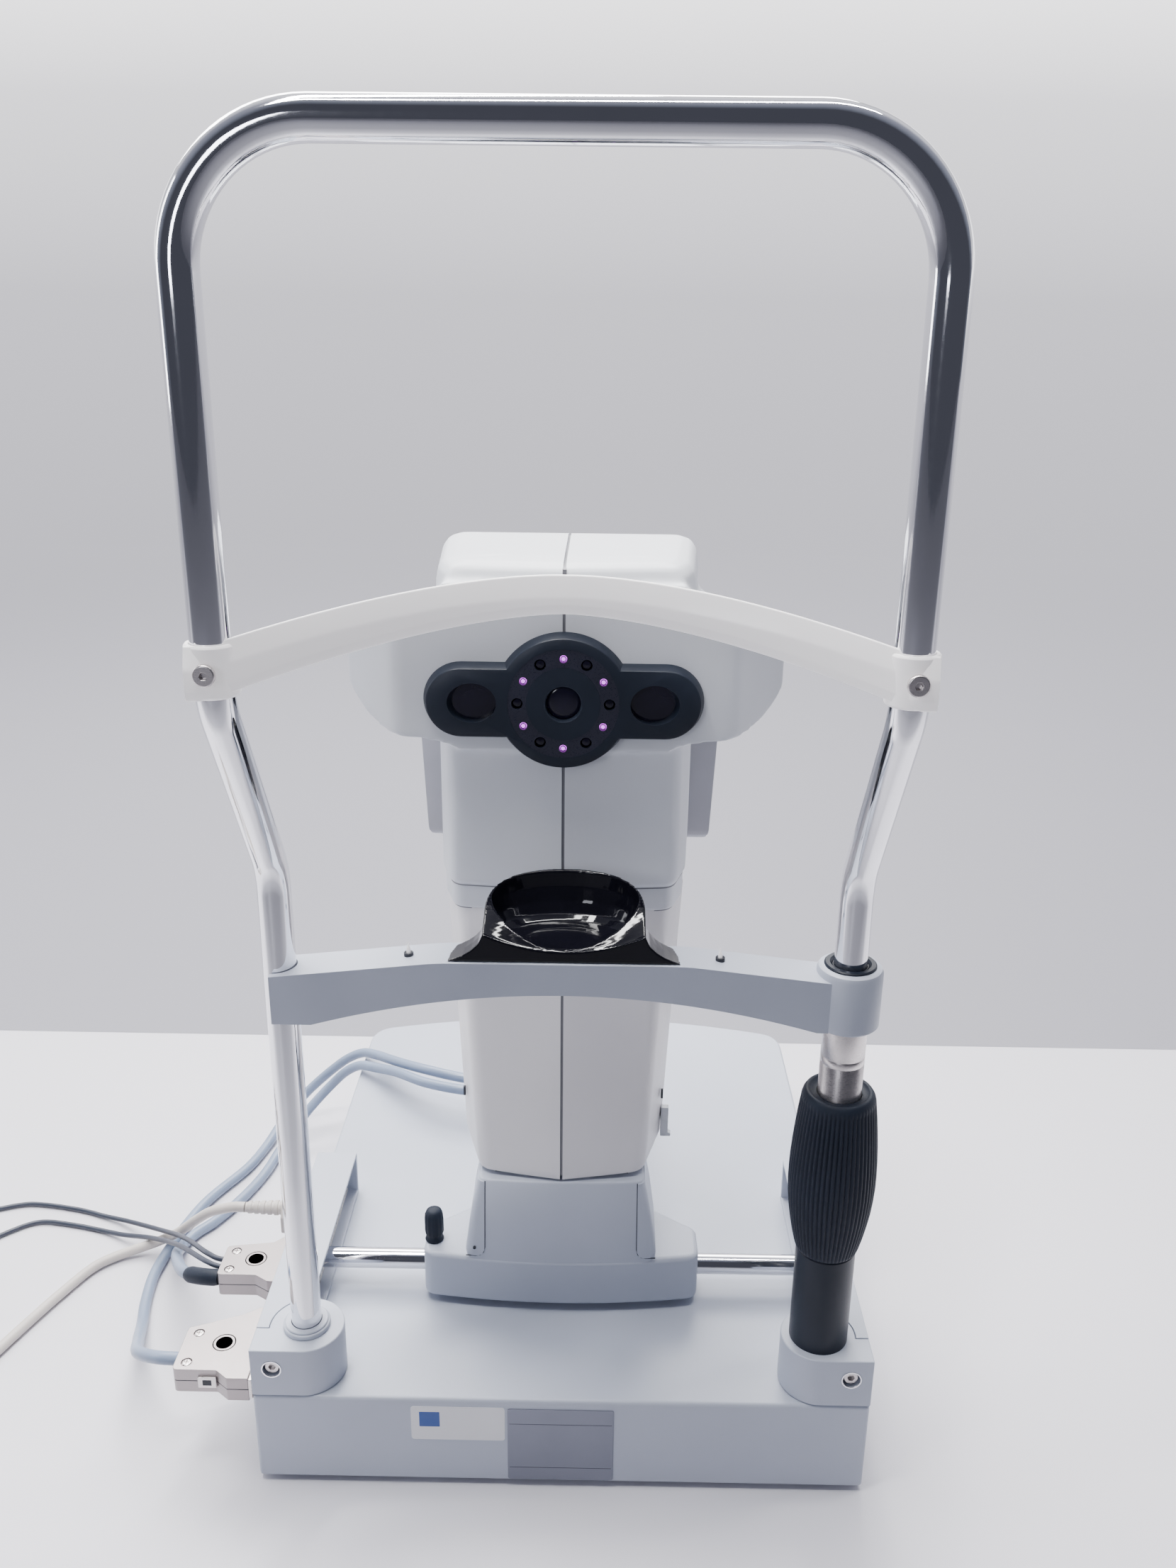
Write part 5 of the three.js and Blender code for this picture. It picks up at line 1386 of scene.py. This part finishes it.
def softbox(name, place, target, size, power, colour):
    """A rectangular lamp at a place, in metres, that faces a target."""
    lamp = bpy.data.lights.new(name, "AREA")
    lamp.shape = "RECTANGLE"
    lamp.size, lamp.size_y = size
    lamp.energy = power
    lamp.color = colour
    lit = bpy.data.objects.new(name, lamp)
    lit.location = place
    lit.rotation_euler = (Vector(target) - Vector(place)).to_track_quat("-Z", "Y").to_euler()
    bpy.context.scene.collection.objects.link(lit)


def slope(nodes, links, source, direction, low, high):
    """How far a vector points along a direction, mapped from low..high to 0..1."""
    dot = nodes.new("ShaderNodeVectorMath")
    dot.operation = "DOT_PRODUCT"
    dot.inputs[1].default_value = direction
    span = nodes.new("ShaderNodeMapRange")
    span.inputs["From Min"].default_value = low
    span.inputs["From Max"].default_value = high
    links.new(source, dot.inputs[0])
    links.new(dot.outputs["Value"], span.inputs["Value"])
    return span.outputs["Result"]


def colour_steps(nodes, links, source, steps):
    """A colour ramp through (position, colour) steps."""
    ramp = nodes.new("ShaderNodeValToRGB")
    stops = ramp.color_ramp.elements
    stops[0].position, stops[0].color = steps[0][0], (*steps[0][1], 1)
    stops[1].position, stops[1].color = steps[-1][0], (*steps[-1][1], 1)
    for position, colour in steps[1:-1]:
        stops.new(position).color = (*colour, 1)
    links.new(source, ramp.inputs["Fac"])
    return ramp.outputs["Color"]


def room_light():
    """The room around: bright overhead and behind the instrument, dim on the patient's side."""
    world = bpy.data.worlds.new("room")
    world.use_nodes = True
    nodes = world.node_tree.nodes
    links = world.node_tree.links
    place = nodes.new("ShaderNodeTexCoord")
    upward = slope(nodes, links, place.outputs["Generated"], (-0.10, 0.90, 0.42), -1, 1)
    steps = [(0.0, (0.042, 0.044, 0.056)), (0.40, (0.042, 0.044, 0.056)), (0.52, (0.13, 0.14, 0.175)),
             (0.70, (0.24, 0.25, 0.31)), (0.84, (0.72, 0.73, 0.79)), (1.0, (0.95, 0.95, 1.0))]
    links.new(colour_steps(nodes, links, upward, steps), nodes["Background"].inputs["Color"])
    nodes["Background"].inputs["Strength"].default_value = 1.6
    bpy.context.scene.world = world


def paint_table_shade():
    """Painted shade on the table: pale under the instrument, darkening towards the patient's seat."""
    nodes = TABLE.nodes
    links = TABLE.links
    place = nodes.new("ShaderNodeTexCoord")
    away = slope(nodes, links, place.outputs["Object"], (0, 1, 0), -0.70, -0.225)
    steps = [(0.0, (0.16, 0.16, 0.18)), (0.6, (0.28, 0.28, 0.31)), (1.0, (0.66, 0.65, 0.70))]
    links.new(colour_steps(nodes, links, away, steps), TABLE.shader.inputs["Base Color"])


def paint_backdrop_glow_and_shade():
    """The backdrop glows a little, with painted shade: dimmest where it meets the table."""
    nodes = BACKDROP.nodes
    links = BACKDROP.links
    place = nodes.new("ShaderNodeTexCoord")
    away = slope(nodes, links, place.outputs["Object"], (0, 1, 1), 0.29, 6.5)
    steps = [(0.0, (0.100, 0.097, 0.112)), (0.10, (0.125, 0.122, 0.138)), (0.45, (0.20, 0.197, 0.215)),
             (0.70, (0.29, 0.286, 0.31)), (0.80, (0.48, 0.475, 0.50)), (0.86, (0.85, 0.84, 0.86)),
             (0.94, (0.85, 0.84, 0.86)), (1.0, (0.30, 0.30, 0.32))]
    links.new(colour_steps(nodes, links, away, steps), BACKDROP.shader.inputs["Emission Color"])


upturn = [(TURN_START + TURN_R * math.sin(t), TURN_R - TURN_R * math.cos(t))
          for t in (math.pi / 20 * i for i in range(1, 11))]
stage_sheet("table", [(-4000.0, 0.0), (TABLE_END, 0.0)], TABLE)
stage_sheet("backdrop", [(TABLE_END, 0.0), (TURN_START, 0.0), *upturn, (upturn[-1][0], 6000.0)], BACKDROP)
for lamp_settings in (("rear_panel", (-0.45, 1.25, 1.75), (0, 0.05, 0.2), (2.2, 0.8), 80,
                       (1.0, 0.985, 0.97)), ("ceiling_strip_a", (-0.25, 0.16, 1.75), (0, 0.05, 0.3),
                          (1.5, 0.10), 44, (1.0, 0.99, 0.98)),
                      ("ceiling_strip_b", (0.10, -0.22, 1.80), (0, 0.0, 0.3), (1.3, 0.07), 22,
                       (1.0, 0.99, 0.98)), ("side_window", (-1.9, 0.1, 1.0), (0, -0.05, 0.35),
                                            (0.4, 1.1), 10, (0.95, 0.97, 1.0)),
                      ("front_window", (-0.8, -2.0, 1.0), (0, 0, 0.3), (0.4, 0.7), 10,
                       (0.88, 0.90, 1.0))):
    softbox(*lamp_settings)
paint_table_shade()
paint_backdrop_glow_and_shade()
room_light()
